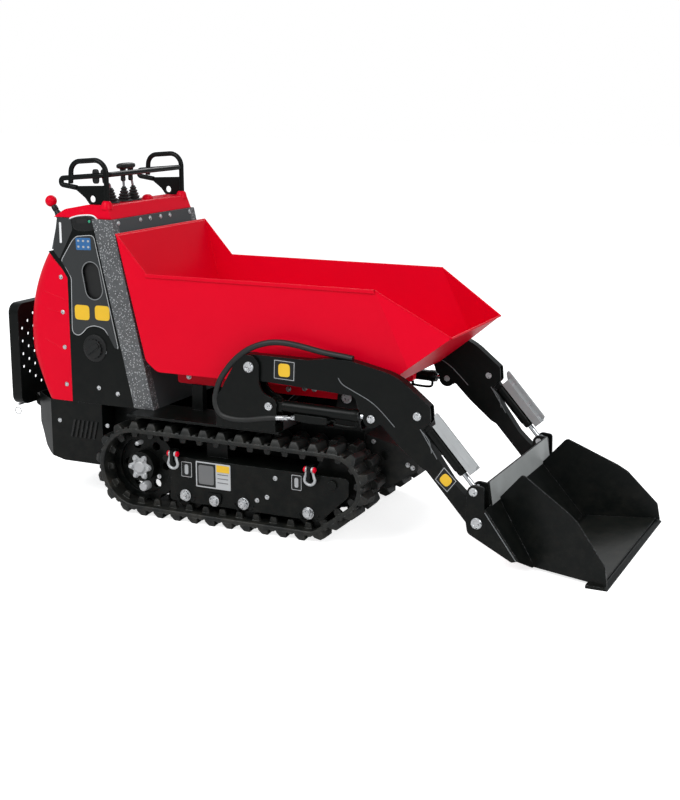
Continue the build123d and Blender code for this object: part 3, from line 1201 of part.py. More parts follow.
def build_handle_guard():
    """Tube handle: a cross bar with hairpin ends, and a loop on its plate at either side."""
    def side(x, z, y=GUARD_Y):
        return (x, y, z)
    left = [side(*HAIRPIN_END), side(GUARD_REAR_X, HAIRPIN_LOW_Z), side(GUARD_REAR_X, HAIRPIN_TOP_Z),
            side(*GUARD_FRONT)]
    right = [(x, -y, z) for x, y, z in reversed(left)]
    bend = (HAIRPIN_TOP_Z - HAIRPIN_LOW_Z) / 2 - RUNNING_GAP
    bar = tube(left + right, TUBE_RADIUS, (bend, bend, 30.0, 30.0, bend, bend))
    foot = COVER_PEAK_Z + SEAT_GAP
    loop = tube([side(GUARD_FRONT.x, foot), side(GUARD_FRONT.x, LOOP_TOP_Z), side(*LOOP_CORNER),
                 side(*LOOP_REAR)], TUBE_RADIUS, LOOP_BENDS)
    plate = outline((
        # x, z, corner radius
        (HAIRPIN_END.x - 10.0, HAIRPIN_END.z + 6.0, 0.0),
        (HAIRPIN_END.x, HAIRPIN_END.z - 10.0, 10.0),
        (LIFT_HOLE.x - 35.0, LIFT_HOLE.z + 4.0, 30.0),
        (LIFT_HOLE.x - 15.0, foot, 8.0),
        (GUARD_FRONT.x, foot, 0.0),
        (GUARD_FRONT.x, HAIRPIN_LOW_Z + 2.0, 0.0),
    )) - disc(LIFT_HOLE, LIFT_HOLE_RADIUS)
    wing = slab(plate, GUARD_Y - GUARD_PLATE / 2, GUARD_Y + GUARD_PLATE / 2)
    return bar + [loop, mirrored(loop), wing, mirrored(wing)]


# --- operator platform and front cover --------------------------------------------------------
PLATFORM_HOLE_RADIUS = 6.5
PLATFORM_OUTER_COLUMN = 6       # number of the outermost column of holes, from the middle
PLATFORM_PITCH_Y = (PLATFORM_HALF_WIDTH - 26.0) / PLATFORM_OUTER_COLUMN
PLATFORM_PITCH_Z = 53.0
PLATFORM_HOLE_TOP_Z = PLATFORM_TOP_Z - 50.0
PLATFORM_ROWS = {6: range(1, 5), 5: range(0, 5)}     # rows of the outer columns
PLATFORM_INNER_ROWS = range(0, 6)
FRONT_COVER_OUTLINE = (
    # x, z, corner radius
    (CHASSIS_FRONT_X + SEAT_GAP, 380.0, 0.0),
    (420.0, 350.0, 40.0),
    (506.0, 290.0, 14.0),
    (506.0, 262.0, 14.0),
    (398.0, 192.0, 30.0),
    (CHASSIS_FRONT_X + SEAT_GAP, 160.0, 0.0),
)
FRONT_COVER_HALF_WIDTH = 190.0


def build_platform():
    """Folding operator platform: a perforated tray with its flanges to the rear."""
    foot = PLATFORM_HINGE.z
    box = block(PLATFORM_REAR_X, PLATFORM_FACE_X, -PLATFORM_HALF_WIDTH, PLATFORM_HALF_WIDTH,
                foot, PLATFORM_TOP_Z)
    box = fillet(box.edges().filter_by(Axis.X), 40)
    tray = hollowed(box, PLATFORM_SHEET, lambda face: face.normal_at().X < -0.9)
    holes = []
    for column in range(-PLATFORM_OUTER_COLUMN, PLATFORM_OUTER_COLUMN + 1):
        top = PLATFORM_HOLE_TOP_Z - column % 2 * PLATFORM_PITCH_Z / 2
        for row in PLATFORM_ROWS.get(abs(column), PLATFORM_INNER_ROWS):
            spot = Spot(PLATFORM_FACE_X, top - row * PLATFORM_PITCH_Z)
            holes.append(x_bar(spot, column * PLATFORM_PITCH_Y, PLATFORM_HOLE_RADIUS, 2 * PLATFORM_SHEET))
    tray = tray - holes
    lug = disc(PLATFORM_HINGE, HINGE_EAR_RADIUS) + polygon([
        Spot(PLATFORM_FACE_X - OVERCUT, foot), Spot(PLATFORM_HINGE.x, foot - 0.01),
        Spot(PLATFORM_HINGE.x, foot + HINGE_EAR_RADIUS), Spot(PLATFORM_FACE_X - OVERCUT, foot + 2 * HINGE_EAR_RADIUS)])
    low = HINGE_EARS[0] + HINGE_EAR_PLATE + 3 * PIVOT_GAP
    high = HINGE_EARS[1] - 3 * PIVOT_GAP
    lugs = [bored(plate, [PLATFORM_HINGE], HINGE_PIN_RADIUS + BORE_GAP)
            for plate in plates(lug, (low, high), (-high, -low))]
    return tray + lugs


def build_front_cover():
    """Moulded cover in front of the chassis, open to the rear."""
    solid = slab(outline(FRONT_COVER_OUTLINE), -FRONT_COVER_HALF_WIDTH, FRONT_COVER_HALF_WIDTH)
    return hollowed(solid, BODY_SHEET, lambda face: face.normal_at().X < -0.9)


PAIRS = {
    # node, builder of its left one
    "track": build_track,
    "sprocket": build_sprocket,
    "idler": lambda: build_wheel(Spot(IDLER.x, IDLER.z), IDLER.radius - RUNNING_GAP, IDLER_WIDTH, IDLER_FLANGE),
    "rollers": build_rollers,
    "track_frame": build_track_frame,
    "chassis_side": build_chassis_side,
    "upright": build_upright,
    "arm": build_arm,
    "strut": build_strut,
    "side_panel": build_side_panel,
}
SINGLES = {
    "shackles": build_shackles,
    "chassis_belly": build_belly,
    "pivot_pins": build_pivot_pins,
    "arm_pins": build_arm_pins,
    "lift_barrels": build_lift_barrels,
    "lift_rods": build_lift_rods,
    "tilt_barrels": build_tilt_barrels,
    "tilt_guards": build_tilt_guards,
    "tilt_rods": build_tilt_rods,
    "tip_barrel": build_tip_barrel,
    "tip_rod": build_tip_rod,
    "bucket_shell": build_bucket_shell,
    "bucket_brackets": build_bucket_brackets,
    "bucket_pins": build_bucket_pins,
    "cutting_edge": build_cutting_edge,
    "skip_tub": build_skip_tub,
    "skip_rails": build_skip_rails,
    "skip_pins": build_skip_pins,
    "rear_tray": build_rear_tray,
    "engine_block": build_engine,
    "hood": build_hood,
    "console_front": build_console_front,
    "console_back": build_console_back,
    "top_cover": build_top_cover,
    "control_levers": build_levers,
    "knob_lever": build_knob_lever,
    "handle_guard": build_handle_guard,
    "platform": build_platform,
    "front_cover": build_front_cover,
}


def main():
    """Write each piece to its own file, right-hand pieces as mirrored left-hand ones."""
    os.makedirs("parts", exist_ok=True)
    for name, build in SINGLES.items():
        export_step(build(), f"parts/{name}.step")
    for name, build in PAIRS.items():
        left = build()
        export_step(left, f"parts/{name}_left.step")
        export_step(mirrored(left), f"parts/{name}_right.step")


if __name__ == "__main__":
    main()
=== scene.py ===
import logging
import math
from dataclasses import dataclass, field
from enum import Enum

import bmesh
import bpy
import numpy as np
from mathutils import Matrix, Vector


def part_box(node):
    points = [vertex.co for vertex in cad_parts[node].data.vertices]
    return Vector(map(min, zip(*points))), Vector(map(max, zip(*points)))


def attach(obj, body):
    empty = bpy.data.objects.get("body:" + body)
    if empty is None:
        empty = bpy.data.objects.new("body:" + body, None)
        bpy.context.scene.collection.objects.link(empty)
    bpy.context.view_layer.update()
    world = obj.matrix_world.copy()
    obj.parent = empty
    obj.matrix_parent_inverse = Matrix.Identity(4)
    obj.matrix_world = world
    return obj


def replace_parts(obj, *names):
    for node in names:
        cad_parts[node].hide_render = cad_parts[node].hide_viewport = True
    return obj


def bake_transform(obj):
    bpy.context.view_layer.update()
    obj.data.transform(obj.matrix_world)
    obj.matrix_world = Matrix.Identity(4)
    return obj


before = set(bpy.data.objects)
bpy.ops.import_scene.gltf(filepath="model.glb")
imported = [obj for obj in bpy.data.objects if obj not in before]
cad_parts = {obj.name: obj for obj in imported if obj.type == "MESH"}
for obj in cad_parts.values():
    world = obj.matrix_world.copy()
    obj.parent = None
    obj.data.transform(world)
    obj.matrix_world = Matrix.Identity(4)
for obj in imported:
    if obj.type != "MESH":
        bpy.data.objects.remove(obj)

# Looks of the tracked mini dumper with its self-loading shovel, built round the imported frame.
# Metres; +X forwards, +Y left, +Z up, the origin on the ground under the middle of the machine.

LOG = logging.getLogger("site_dumper")
Array = np.ndarray
Socket = bpy.types.NodeSocket
Colour = tuple[float, float, float, float]
MM = 0.001


class Body(Enum):
    """The moving bodies that a piece can ride on."""

    CHASSIS = "chassis"
    ARMS = "arms"
    LIFT_CYLINDERS = "lift_cylinders"
    TILT_CYLINDERS = "tilt_cylinders"
    BUCKET = "bucket"
    SKIP = "skip"
    PLATFORM = "platform"


class Slot(Enum):
    """The finishes that the machine's record names."""

    RED_PAINT = "red_paint"
    RED_PLASTIC = "red_plastic"
    BLACK_PAINT = "black_paint"
    GREY_PAINT = "grey_paint"
    LIGHT_GREY_PAINT = "light_grey_paint"
    RUBBER = "rubber"
    STEEL = "steel"
    CHROME = "chrome"
    BLACK_PLASTIC = "black_plastic"
    CAST_ALUMINIUM = "cast_aluminium"


# --- shader node groups -----------------------------------------------------------------------
def add_node(tree: bpy.types.NodeTree, kind: str, inputs: dict[str | int, object] | None = None,
             **settings: object) -> bpy.types.Node:
    """Add a shader node to a tree, set its properties, and fill or join its inputs.

    Args:
        tree: the node tree.
        kind: what follows ShaderNode in the name of the node's type.
        inputs: a value or a source socket for each named or numbered input.
        settings: the node's own properties.

    Returns:
        The new node.
    """
    node = tree.nodes.new("ShaderNode" + kind)
    for key, value in settings.items():
        setattr(node, key, value)
    for key, value in (inputs or {}).items():
        if isinstance(value, Socket):
            tree.links.new(value, node.inputs[key])
        else:
            node.inputs[key].default_value = value
    return node


@dataclass
class GroupBench:
    """Builds one shader node group.

    Attributes:
        name: the group's name.
        values: its inputs with their defaults; a tuple makes a colour.
    """

    name: str
    values: dict[str, float | Colour]

    def __post_init__(self) -> None:
        """Open a group with its end nodes, its inputs and the piece's own coordinates."""
        self.tree = bpy.data.node_groups.new(self.name, "ShaderNodeTree")
        self.entry = self.tree.nodes.new("NodeGroupInput")
        self.exit = self.tree.nodes.new("NodeGroupOutput")
        for name, value in self.values.items():
            kind = "NodeSocketColor" if isinstance(value, tuple) else "NodeSocketFloat"
            socket = self.tree.interface.new_socket(name=name, in_out="INPUT", socket_type=kind)
            socket.default_value = value
        self.place = self.node("TexCoord")

    def value(self, name: str) -> Socket:
        """One of the group's inputs."""
        return self.entry.outputs[name]

    def node(self, kind: str, inputs: dict[str | int, object] | None = None,
             **settings: object) -> bpy.types.Node:
        """Add a node, as add_node does."""
        return add_node(self.tree, kind, inputs, **settings)

    def noise(self, scale: float | Socket, detail: float, roughness: float = 0.5) -> Socket:
        """Noise over the piece's own coordinates."""
        inputs = {"Vector": self.place.outputs["Object"], "Scale": scale, "Detail": detail,
                  "Roughness": roughness}
        return self.node("TexNoise", inputs).outputs["Fac"]

    def maths(self, operation: str, *terms: float | Socket, clamped: bool = False) -> Socket:
        """One step of arithmetic."""
        return self.node("Math", dict(enumerate(terms)), operation=operation, use_clamp=clamped).outputs[0]

    def ramp(self, value: Socket, zero: float | Socket, one: float) -> Socket:
        """A mask that runs from 0 to 1 between two levels of a value."""
        return self.node("MapRange", {"Value": value, "From Min": zero, "From Max": one}).outputs["Result"]

    def gives(self, name: str, kind: str, source: Socket) -> None:
        """Add an output socket and join it to its source."""
        self.tree.interface.new_socket(name=name, in_out="OUTPUT", socket_type=kind)
        self.tree.links.new(source, self.exit.inputs[name])

    def gives_mask(self, first: Socket, second: Socket) -> None:
        """Put out two masks multiplied together and by the group's Amount."""
        both = self.maths("MULTIPLY", first, second)
        self.gives("Mask", "NodeSocketFloat", self.maths("MULTIPLY", both, self.value("Amount"),
                                                         clamped=True))


def make_tone_group() -> bpy.types.NodeTree:
    """Group: a colour that drifts a little lighter and darker over the surface."""
    bench = GroupBench("tone_drift", {"Colour": (0.5, 0.5, 0.5, 1.0), "Drift": 0.1, "Scale": 6.0})
    centred = bench.maths("SUBTRACT", bench.noise(bench.value("Scale"), 4.0, 0.6), 0.5)
    swing = bench.maths("MULTIPLY", centred, bench.value("Drift"))
    tinted = bench.node("HueSaturation", {"Color": bench.value("Colour"), "Value": bench.maths("ADD", swing,
                                                                                               1.0)})
    bench.gives("Colour", "NodeSocketColor", tinted.outputs["Color"])
    return bench.tree


def make_grain_group() -> bpy.types.NodeTree:
    """Group: height and roughness of a sprayed or moulded skin, a fine grain over a slow orange peel."""
    bench = GroupBench("skin_grain", {"Fine Scale": 900.0, "Peel Scale": 120.0, "Peel Share": 0.5,
                                      "Roughness": 0.4, "Roughness Swing": 0.1})
    height = bench.node("Mix", {"Factor": bench.value("Peel Share"),
                                "A": bench.noise(bench.value("Fine Scale"), 2.0),
                                "B": bench.noise(bench.value("Peel Scale"), 3.0)})
    centred = bench.maths("SUBTRACT", bench.noise(9.0, 5.0), 0.5)
    rough = bench.maths("MULTIPLY_ADD", centred, bench.value("Roughness Swing"), bench.value("Roughness"))
    bench.gives("Height", "NodeSocketFloat", height.outputs["Result"])
    bench.gives("Roughness", "NodeSocketFloat", rough)
    return bench.tree


def make_dust_group() -> bpy.types.NodeTree:
    """Group: where dust settles, thicker near the ground and in broken patches."""
    bench = GroupBench("settled_dust", {"Amount": 0.2, "Top": 0.6})
    axes = bench.node("SeparateXYZ", {"Vector": bench.place.outputs["Object"]})
    low = bench.ramp(axes.outputs["Z"], bench.value("Top"), 0.0)
    bench.gives_mask(low, bench.ramp(bench.noise(22.0, 6.0, 0.7), 0.42, 0.7))
    return bench.tree


def make_edge_group() -> bpy.types.NodeTree:
    """Group: a softened edge normal, and a broken mask along the edges, for rubbed paint and for a painted
    highlight.
    """
    bench = GroupBench("rubbed_and_glinting_edges", {"Radius": 0.002, "Amount": 0.3})
    soft = bench.node("Bevel", {"Radius": bench.value("Radius")}, samples=4)
    flat = bench.node("NewGeometry")
    facing = bench.node("VectorMath", {0: soft.outputs["Normal"], 1: flat.outputs["Normal"]},
                        operation="DOT_PRODUCT")
    edge = bench.ramp(facing.outputs["Value"], 0.985, 0.85)
    bench.gives_mask(edge, bench.ramp(bench.noise(60.0, 5.0, 0.75), 0.5, 0.62))
    bench.gives("Normal", "NodeSocketVector", soft.outputs["Normal"])
    return bench.tree


def make_speckle_group() -> bpy.types.NodeTree:
    """Group: scattered flakes or grit, round specks of uneven size."""
    bench = GroupBench("specks", {"Scale": 500.0, "Cover": 0.3})
    cells = bench.node("TexVoronoi", {"Vector": bench.place.outputs["Object"], "Scale": bench.value("Scale")})
    bench.gives("Mask", "NodeSocketFloat", bench.maths("LESS_THAN", cells.outputs["Distance"],
                                                       bench.value("Cover")))
    return bench.tree


@dataclass
class SharedGroups:
    """The node groups that the finishes share, each built once."""

    def __post_init__(self) -> None:
        """Build every group."""
        self.tone = make_tone_group()
        self.grain = make_grain_group()
        self.dust = make_dust_group()
        self.edge = make_edge_group()
        self.specks = make_speckle_group()


# --- finishes ---------------------------------------------------------------------------------
def linear(red: int, green: int, blue: int) -> Colour:
    """Scene-linear colour of a screen colour from 0 to 255."""
    def channel(value: int) -> float:
        """One channel of it."""
        share = value / 255.0
        return share / 12.92 if share <= 0.04045 else ((share + 0.055) / 1.055) ** 2.4
    return channel(red), channel(green), channel(blue), 1.0


DUST = linear(150, 142, 128)
COAT_ROUGHNESS = 0.18


@dataclass(frozen=True)
class Finish:
    """A coated, moulded or bare surface.

    Attributes:
        name: the material's name.
        slot: the record's slot that it belongs to.
        colour: its scene-linear colour.
        roughness: middle of its roughness.
        metallic: 0 for paint, rubber and plastic, 1 for bare metal.
        drift, tone_scale: how far the tone wanders, and how quickly.
        fine_scale, peel_scale, peel_share: its grain.
        grain_depth: height of the grain, in metres.
        roughness_swing: how far the roughness wanders.
        coat: weight of a clear coat.
        edge_wear_glint_colour: what shows along an edge, rubbed paint and a painted highlight.
        edge_wear_and_glint: how much of the edges shows it.
        edge_radius: how soft the edges look, in metres.
        dust: how dusty it is near the ground.
        dust_top: height where dust ends.
        flake_colour: colour of its flakes or grit.
        flakes, flake_scale: how much of each flake's cell is covered, and flakes per metre.
        specular: how strongly the surface mirrors, 0.5 for most plastics.
    """

    name: str
    slot: Slot
    colour: Colour
    roughness: float = 0.4
    metallic: float = 0.0
    drift: float = 0.12
    tone_scale: float = 6.0
    fine_scale: float = 1400.0
    peel_scale: float = 160.0
    peel_share: float = 0.6
    grain_depth: float = 0.0002
    roughness_swing: float = 0.16
    coat: float = 0.0
    edge_wear_glint_colour: Colour = (0.35, 0.35, 0.36, 1.0)
    edge_wear_and_glint: float = 0.35
    edge_radius: float = 0.002
    dust: float = 0.25
    dust_top: float = 0.7
    flake_colour: Colour = (0.5, 0.5, 0.5, 1.0)
    flakes: float = 0.0
    flake_scale: float = 400.0
    specular: float = 0.5

    def build(self, groups: SharedGroups) -> bpy.types.Material:
        """Make the material.

        Args:
            groups: the shared node groups.

        Returns:
            The finished material.
        """
        material = bpy.data.materials.new(self.name)
        material.use_nodes = True
        tree = material.node_tree
        shader = tree.nodes["Principled BSDF"]
        for socket, value in (("Metallic", self.metallic), ("Coat Weight", self.coat),
                              ("Coat Roughness", COAT_ROUGHNESS), ("Specular IOR Level", self.specular)):
            shader.inputs[socket].default_value = value
        tone = self.group(tree, groups.tone, {"Colour": self.colour, "Drift": self.drift,
                                              "Scale": self.tone_scale})
        grain = self.group(tree, groups.grain, {
            "Fine Scale": self.fine_scale, "Peel Scale": self.peel_scale, "Peel Share": self.peel_share,
            "Roughness": self.roughness, "Roughness Swing": self.roughness_swing})
        edge = self.group(tree, groups.edge, {"Radius": self.edge_radius, "Amount": self.edge_wear_and_glint})
        dust = self.group(tree, groups.dust, {"Amount": self.dust, "Top": self.dust_top})
        colour = tone.outputs["Colour"]
        if self.flakes:
            specks = self.group(tree, groups.specks, {"Scale": self.flake_scale, "Cover": self.flakes})
            colour = self.mixed(tree, specks.outputs["Mask"], colour, self.flake_colour)
        # The edge colour is partly rubbed paint and partly a painted highlight along the edges.
        colour = self.mixed(tree, edge.outputs["Mask"], colour, self.edge_wear_glint_colour)
        colour = self.mixed(tree, dust.outputs["Mask"], colour, DUST)
        dusty = add_node(tree, "Math", {0: dust.outputs["Mask"], 1: 0.4, 2: grain.outputs["Roughness"]},
                         operation="MULTIPLY_ADD", use_clamp=True)
        bump = add_node(tree, "Bump", {"Strength": 0.6, "Distance": self.grain_depth,
                                       "Height": grain.outputs["Height"], "Normal": edge.outputs["Normal"]})
        tree.links.new(colour, shader.inputs["Base Color"])
        tree.links.new(dusty.outputs[0], shader.inputs["Roughness"])
        tree.links.new(bump.outputs["Normal"], shader.inputs["Normal"])
        return material

    @staticmethod
    def group(tree: bpy.types.NodeTree, source: bpy.types.NodeTree, values: dict[str,
                                                                                 object]) -> bpy.types.Node:
        """Place a shared group with its own values."""
        node = tree.nodes.new("ShaderNodeGroup")
        node.node_tree = source
        for key, value in values.items():
            node.inputs[key].default_value = value
        return node

    @staticmethod
    def mixed(tree: bpy.types.NodeTree, mask: Socket, under: Socket, over: Colour) -> Socket:
        """Lay a colour over another where the mask is high; colours are the Mix node's inputs 6 and 7."""
        return add_node(tree, "Mix", {"Factor": mask, 6: under, 7: over}, data_type="RGBA").outputs[2]


# Lighter edge colours paint highlights along the edges as well as wear.
FINISHES = (
    Finish("red_powder_coat", Slot.RED_PAINT, linear(226, 0, 36), roughness=0.38, drift=0.10, specular=0.1,
           dust=0.0,
           edge_wear_glint_colour=linear(240, 70, 80), edge_wear_and_glint=0.5, peel_scale=260.0, grain_depth=0.00015),
    Finish("red_moulding", Slot.RED_PLASTIC, linear(228, 0, 38), roughness=0.34, drift=0.08, specular=0.1,
           dust=0.0,
           edge_wear_glint_colour=linear(236, 80, 88), edge_wear_and_glint=0.25, edge_radius=0.004, peel_scale=90.0),
    Finish("black_powder_coat", Slot.BLACK_PAINT, linear(8, 11, 10), roughness=0.34, drift=0.25,
           specular=0.17,
           dust=0.03, edge_wear_glint_colour=linear(120, 124, 126), edge_wear_and_glint=0.55, peel_scale=300.0),
    Finish("bucket_black", Slot.BLACK_PAINT, linear(11, 14, 13), roughness=0.36, drift=0.3, specular=0.2,
           dust=0.03,
           edge_wear_glint_colour=linear(150, 152, 155), edge_wear_and_glint=0.8, dust_top=0.4, peel_scale=220.0,
           flake_colour=linear(40, 42, 43), flakes=0.12, flake_scale=160.0),
    Finish("hammered_grey", Slot.GREY_PAINT, linear(88, 90, 92), roughness=0.38, metallic=0.2, drift=0.9,
           tone_scale=38.0, peel_scale=70.0, grain_depth=0.0006, coat=0.2, dust=0.1, dust_top=1.2,
           edge_wear_glint_colour=linear(190, 192, 194), edge_wear_and_glint=0.8, flake_colour=linear(178, 180, 182), flakes=0.3,
           flake_scale=130.0),
    Finish("slate_grey", Slot.GREY_PAINT, linear(66, 70, 72), specular=0.3, roughness=0.42, drift=0.15,
           dust=0.05,
           edge_wear_glint_colour=linear(130, 132, 134), edge_wear_and_glint=0.4),
    Finish("light_grey_zinc", Slot.LIGHT_GREY_PAINT, linear(182, 185, 186), roughness=0.4, metallic=0.3,
           drift=0.2,
           tone_scale=24.0, dust=0.12, edge_wear_glint_colour=linear(205, 206, 208), edge_wear_and_glint=0.6, peel_scale=120.0),
    Finish("track_rubber", Slot.RUBBER, linear(13, 16, 15), roughness=0.45, specular=0.4, drift=0.45,
           tone_scale=14.0, fine_scale=900.0, peel_scale=240.0, grain_depth=0.0008, dust=0.10,
           dust_top=0.75, edge_wear_and_glint=0.6,
           edge_wear_glint_colour=linear(128, 131, 130), edge_radius=0.004, flake_colour=linear(52, 54, 54), flakes=0.1,
           flake_scale=320.0),
    Finish("hose_rubber", Slot.RUBBER, linear(18, 20, 20), roughness=0.5, drift=0.2, fine_scale=1800.0,
           peel_scale=700.0, grain_depth=0.0005, dust=0.1, edge_wear_and_glint=0.2),
    Finish("bare_steel", Slot.STEEL, linear(150, 152, 155), roughness=0.34, metallic=0.9, drift=0.4,
           tone_scale=30.0,
           dust=0.2, edge_wear_glint_colour=linear(215, 216, 218), edge_wear_and_glint=0.6, peel_scale=500.0),
    Finish("zinc_bolts", Slot.STEEL, linear(206, 208, 210), roughness=0.3, metallic=0.7, drift=0.8,
           tone_scale=95.0, dust=0.05, edge_wear_glint_colour=linear(232, 233, 235), edge_wear_and_glint=0.5, edge_radius=0.0008,
           flake_colour=linear(92, 94, 96), flakes=0.3, flake_scale=120.0),
    Finish("rod_chrome", Slot.CHROME, linear(212, 215, 218), roughness=0.12, metallic=1.0, drift=0.06,
           dust=0.05,
           grain_depth=0.00003, edge_wear_and_glint=0.1),
    Finish("black_moulding", Slot.BLACK_PLASTIC, linear(16, 18, 18), roughness=0.45, specular=0.35,
           drift=0.15,
           dust=0.08, fine_scale=1100.0, peel_scale=600.0, grain_depth=0.0004, edge_wear_glint_colour=linear(88, 90, 92),
           edge_wear_and_glint=0.35, edge_radius=0.003),
    Finish("cast_silver", Slot.CAST_ALUMINIUM, linear(196, 198, 200), roughness=0.45, metallic=0.6, drift=0.4,
           tone_scale=40.0, dust=0.2, peel_scale=180.0, grain_depth=0.0006, edge_wear_and_glint=0.4),
    # Light grey beads: painted highlights along the welded seams.
    Finish("weld_highlight_grey", Slot.STEEL, linear(120, 123, 125), roughness=0.4, metallic=0.5, dust=0.1,
           edge_wear_and_glint=0.3,
           grain_depth=0.0006, peel_scale=260.0),
    # Black a little lighter than the bucket's own: a painted sheen on the bucket's floor.
    Finish("sheen_black", Slot.BLACK_PAINT, linear(24, 27, 25), roughness=0.4, drift=0.45, specular=0.25,
           dust=0.04,
           tone_scale=7.0, edge_wear_glint_colour=linear(140, 142, 144), flake_colour=linear(84, 86, 86), flakes=0.08,
           flake_scale=200.0),
    # Black paint coloured grey: a painted sheen of reflected light on the bucket's beam face.
    Finish("sheen_grey", Slot.BLACK_PAINT, linear(168, 171, 170), roughness=0.45, metallic=0.2, drift=0.35,
           dust=0.05,
           tone_scale=10.0, edge_wear_glint_colour=linear(150, 152, 155), flake_colour=linear(140, 141, 143), flakes=0.1,
           flake_scale=200.0),
# wear sets how much edge colour shows: rubbed paint and painted edge highlights.
) + tuple(Finish(name, slot, linear(*colour), roughness=roughness, specular=specular, dust=dust,
                 edge_wear_and_glint=wear)
          for name, slot, colour, roughness, specular, dust, wear in (
    ("decal_white", Slot.LIGHT_GREY_PAINT, (236, 237, 238), 0.35, 0.5, 0.03, 0.1),
    ("decal_pale", Slot.LIGHT_GREY_PAINT, (190, 192, 194), 0.35, 0.5, 0.05, 0.1),
    ("decal_pale_mark", Slot.LIGHT_GREY_PAINT, (176, 178, 180), 0.35, 0.5, 0.05, 0.1),
    ("decal_pale_rim", Slot.LIGHT_GREY_PAINT, (128, 130, 132), 0.35, 0.5, 0.05, 0.1),
    ("decal_grey", Slot.GREY_PAINT, (110, 111, 112), 0.4, 0.5, 0.05, 0.1),
    ("decal_dark", Slot.BLACK_PAINT, (22, 25, 25), 0.4, 0.3, 0.05, 0.1),
    ("decal_dark_field", Slot.BLACK_PAINT, (22, 25, 25), 0.4, 0.3, 0.05, 0.1),
    ("decal_slate", Slot.GREY_PAINT, (50, 52, 53), 0.42, 0.3, 0.05, 0.1),
    # Black of slots and openings: painted shade.
    ("shade_black", Slot.BLACK_PAINT, (10, 10, 11), 0.6, 0.5, 0.02, 0.0),
    ("decal_yellow", Slot.LIGHT_GREY_PAINT, (238, 190, 38), 0.35, 0.5, 0.04, 0.1),
    ("decal_blue", Slot.GREY_PAINT, (48, 104, 160), 0.3, 0.5, 0.03, 0.1),
    ("lamp_green", Slot.BLACK_PLASTIC, (40, 160, 120), 0.2, 0.5, 0.0, 0.0),
))

PLAIN_FINISH = "black_powder_coat"
NODE_FINISHES = {
    # start of a CAD node's name: its finish, where it isn't the plain one
    "track_left": "track_rubber", "track_right": "track_rubber", "arm_pins": "zinc_bolts",
    "pivot_pins": "zinc_bolts", "bucket_pins": "zinc_bolts", "skip_pins": "zinc_bolts",
    "strut": "hammered_grey", "shackles": "cast_silver", "engine_block": "cast_silver",
    "lift_rods": "rod_chrome", "tilt_rods": "rod_chrome", "tip_rod": "rod_chrome",
    "tilt_guards": "light_grey_zinc", "bucket_shell": "bucket_black", "cutting_edge": "bucket_black",
    "skip_tub": "red_powder_coat", "skip_rails": "red_powder_coat", "hood": "red_moulding",
    "top_cover": "red_moulding", "knob_lever": "red_moulding", "console": "slate_grey",
    "control_levers": "hose_rubber", "front_cover": "black_moulding",
}


@dataclass
class FinishShelf:
    """All finished materials, by name."""

    groups: SharedGroups

    def __post_init__(self) -> None:
        """Build every finish."""
        self.recipes = {finish.name: finish for finish in FINISHES}
        self.materials = {finish.name: finish.build(self.groups) for finish in FINISHES}

    def dress_nodes(self) -> None:
        """Give every CAD node its finish."""
        for name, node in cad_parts.items():
            finish = next((NODE_FINISHES[start] for start in NODE_FINISHES if name.startswith(start)),
                          PLAIN_FINISH)
            node.data.materials.clear()
            node.data.materials.append(self.materials[finish])


# --- stage ------------------------------------------------------------------------------------
WHITE = (1.0, 1.0, 1.0, 1.0)


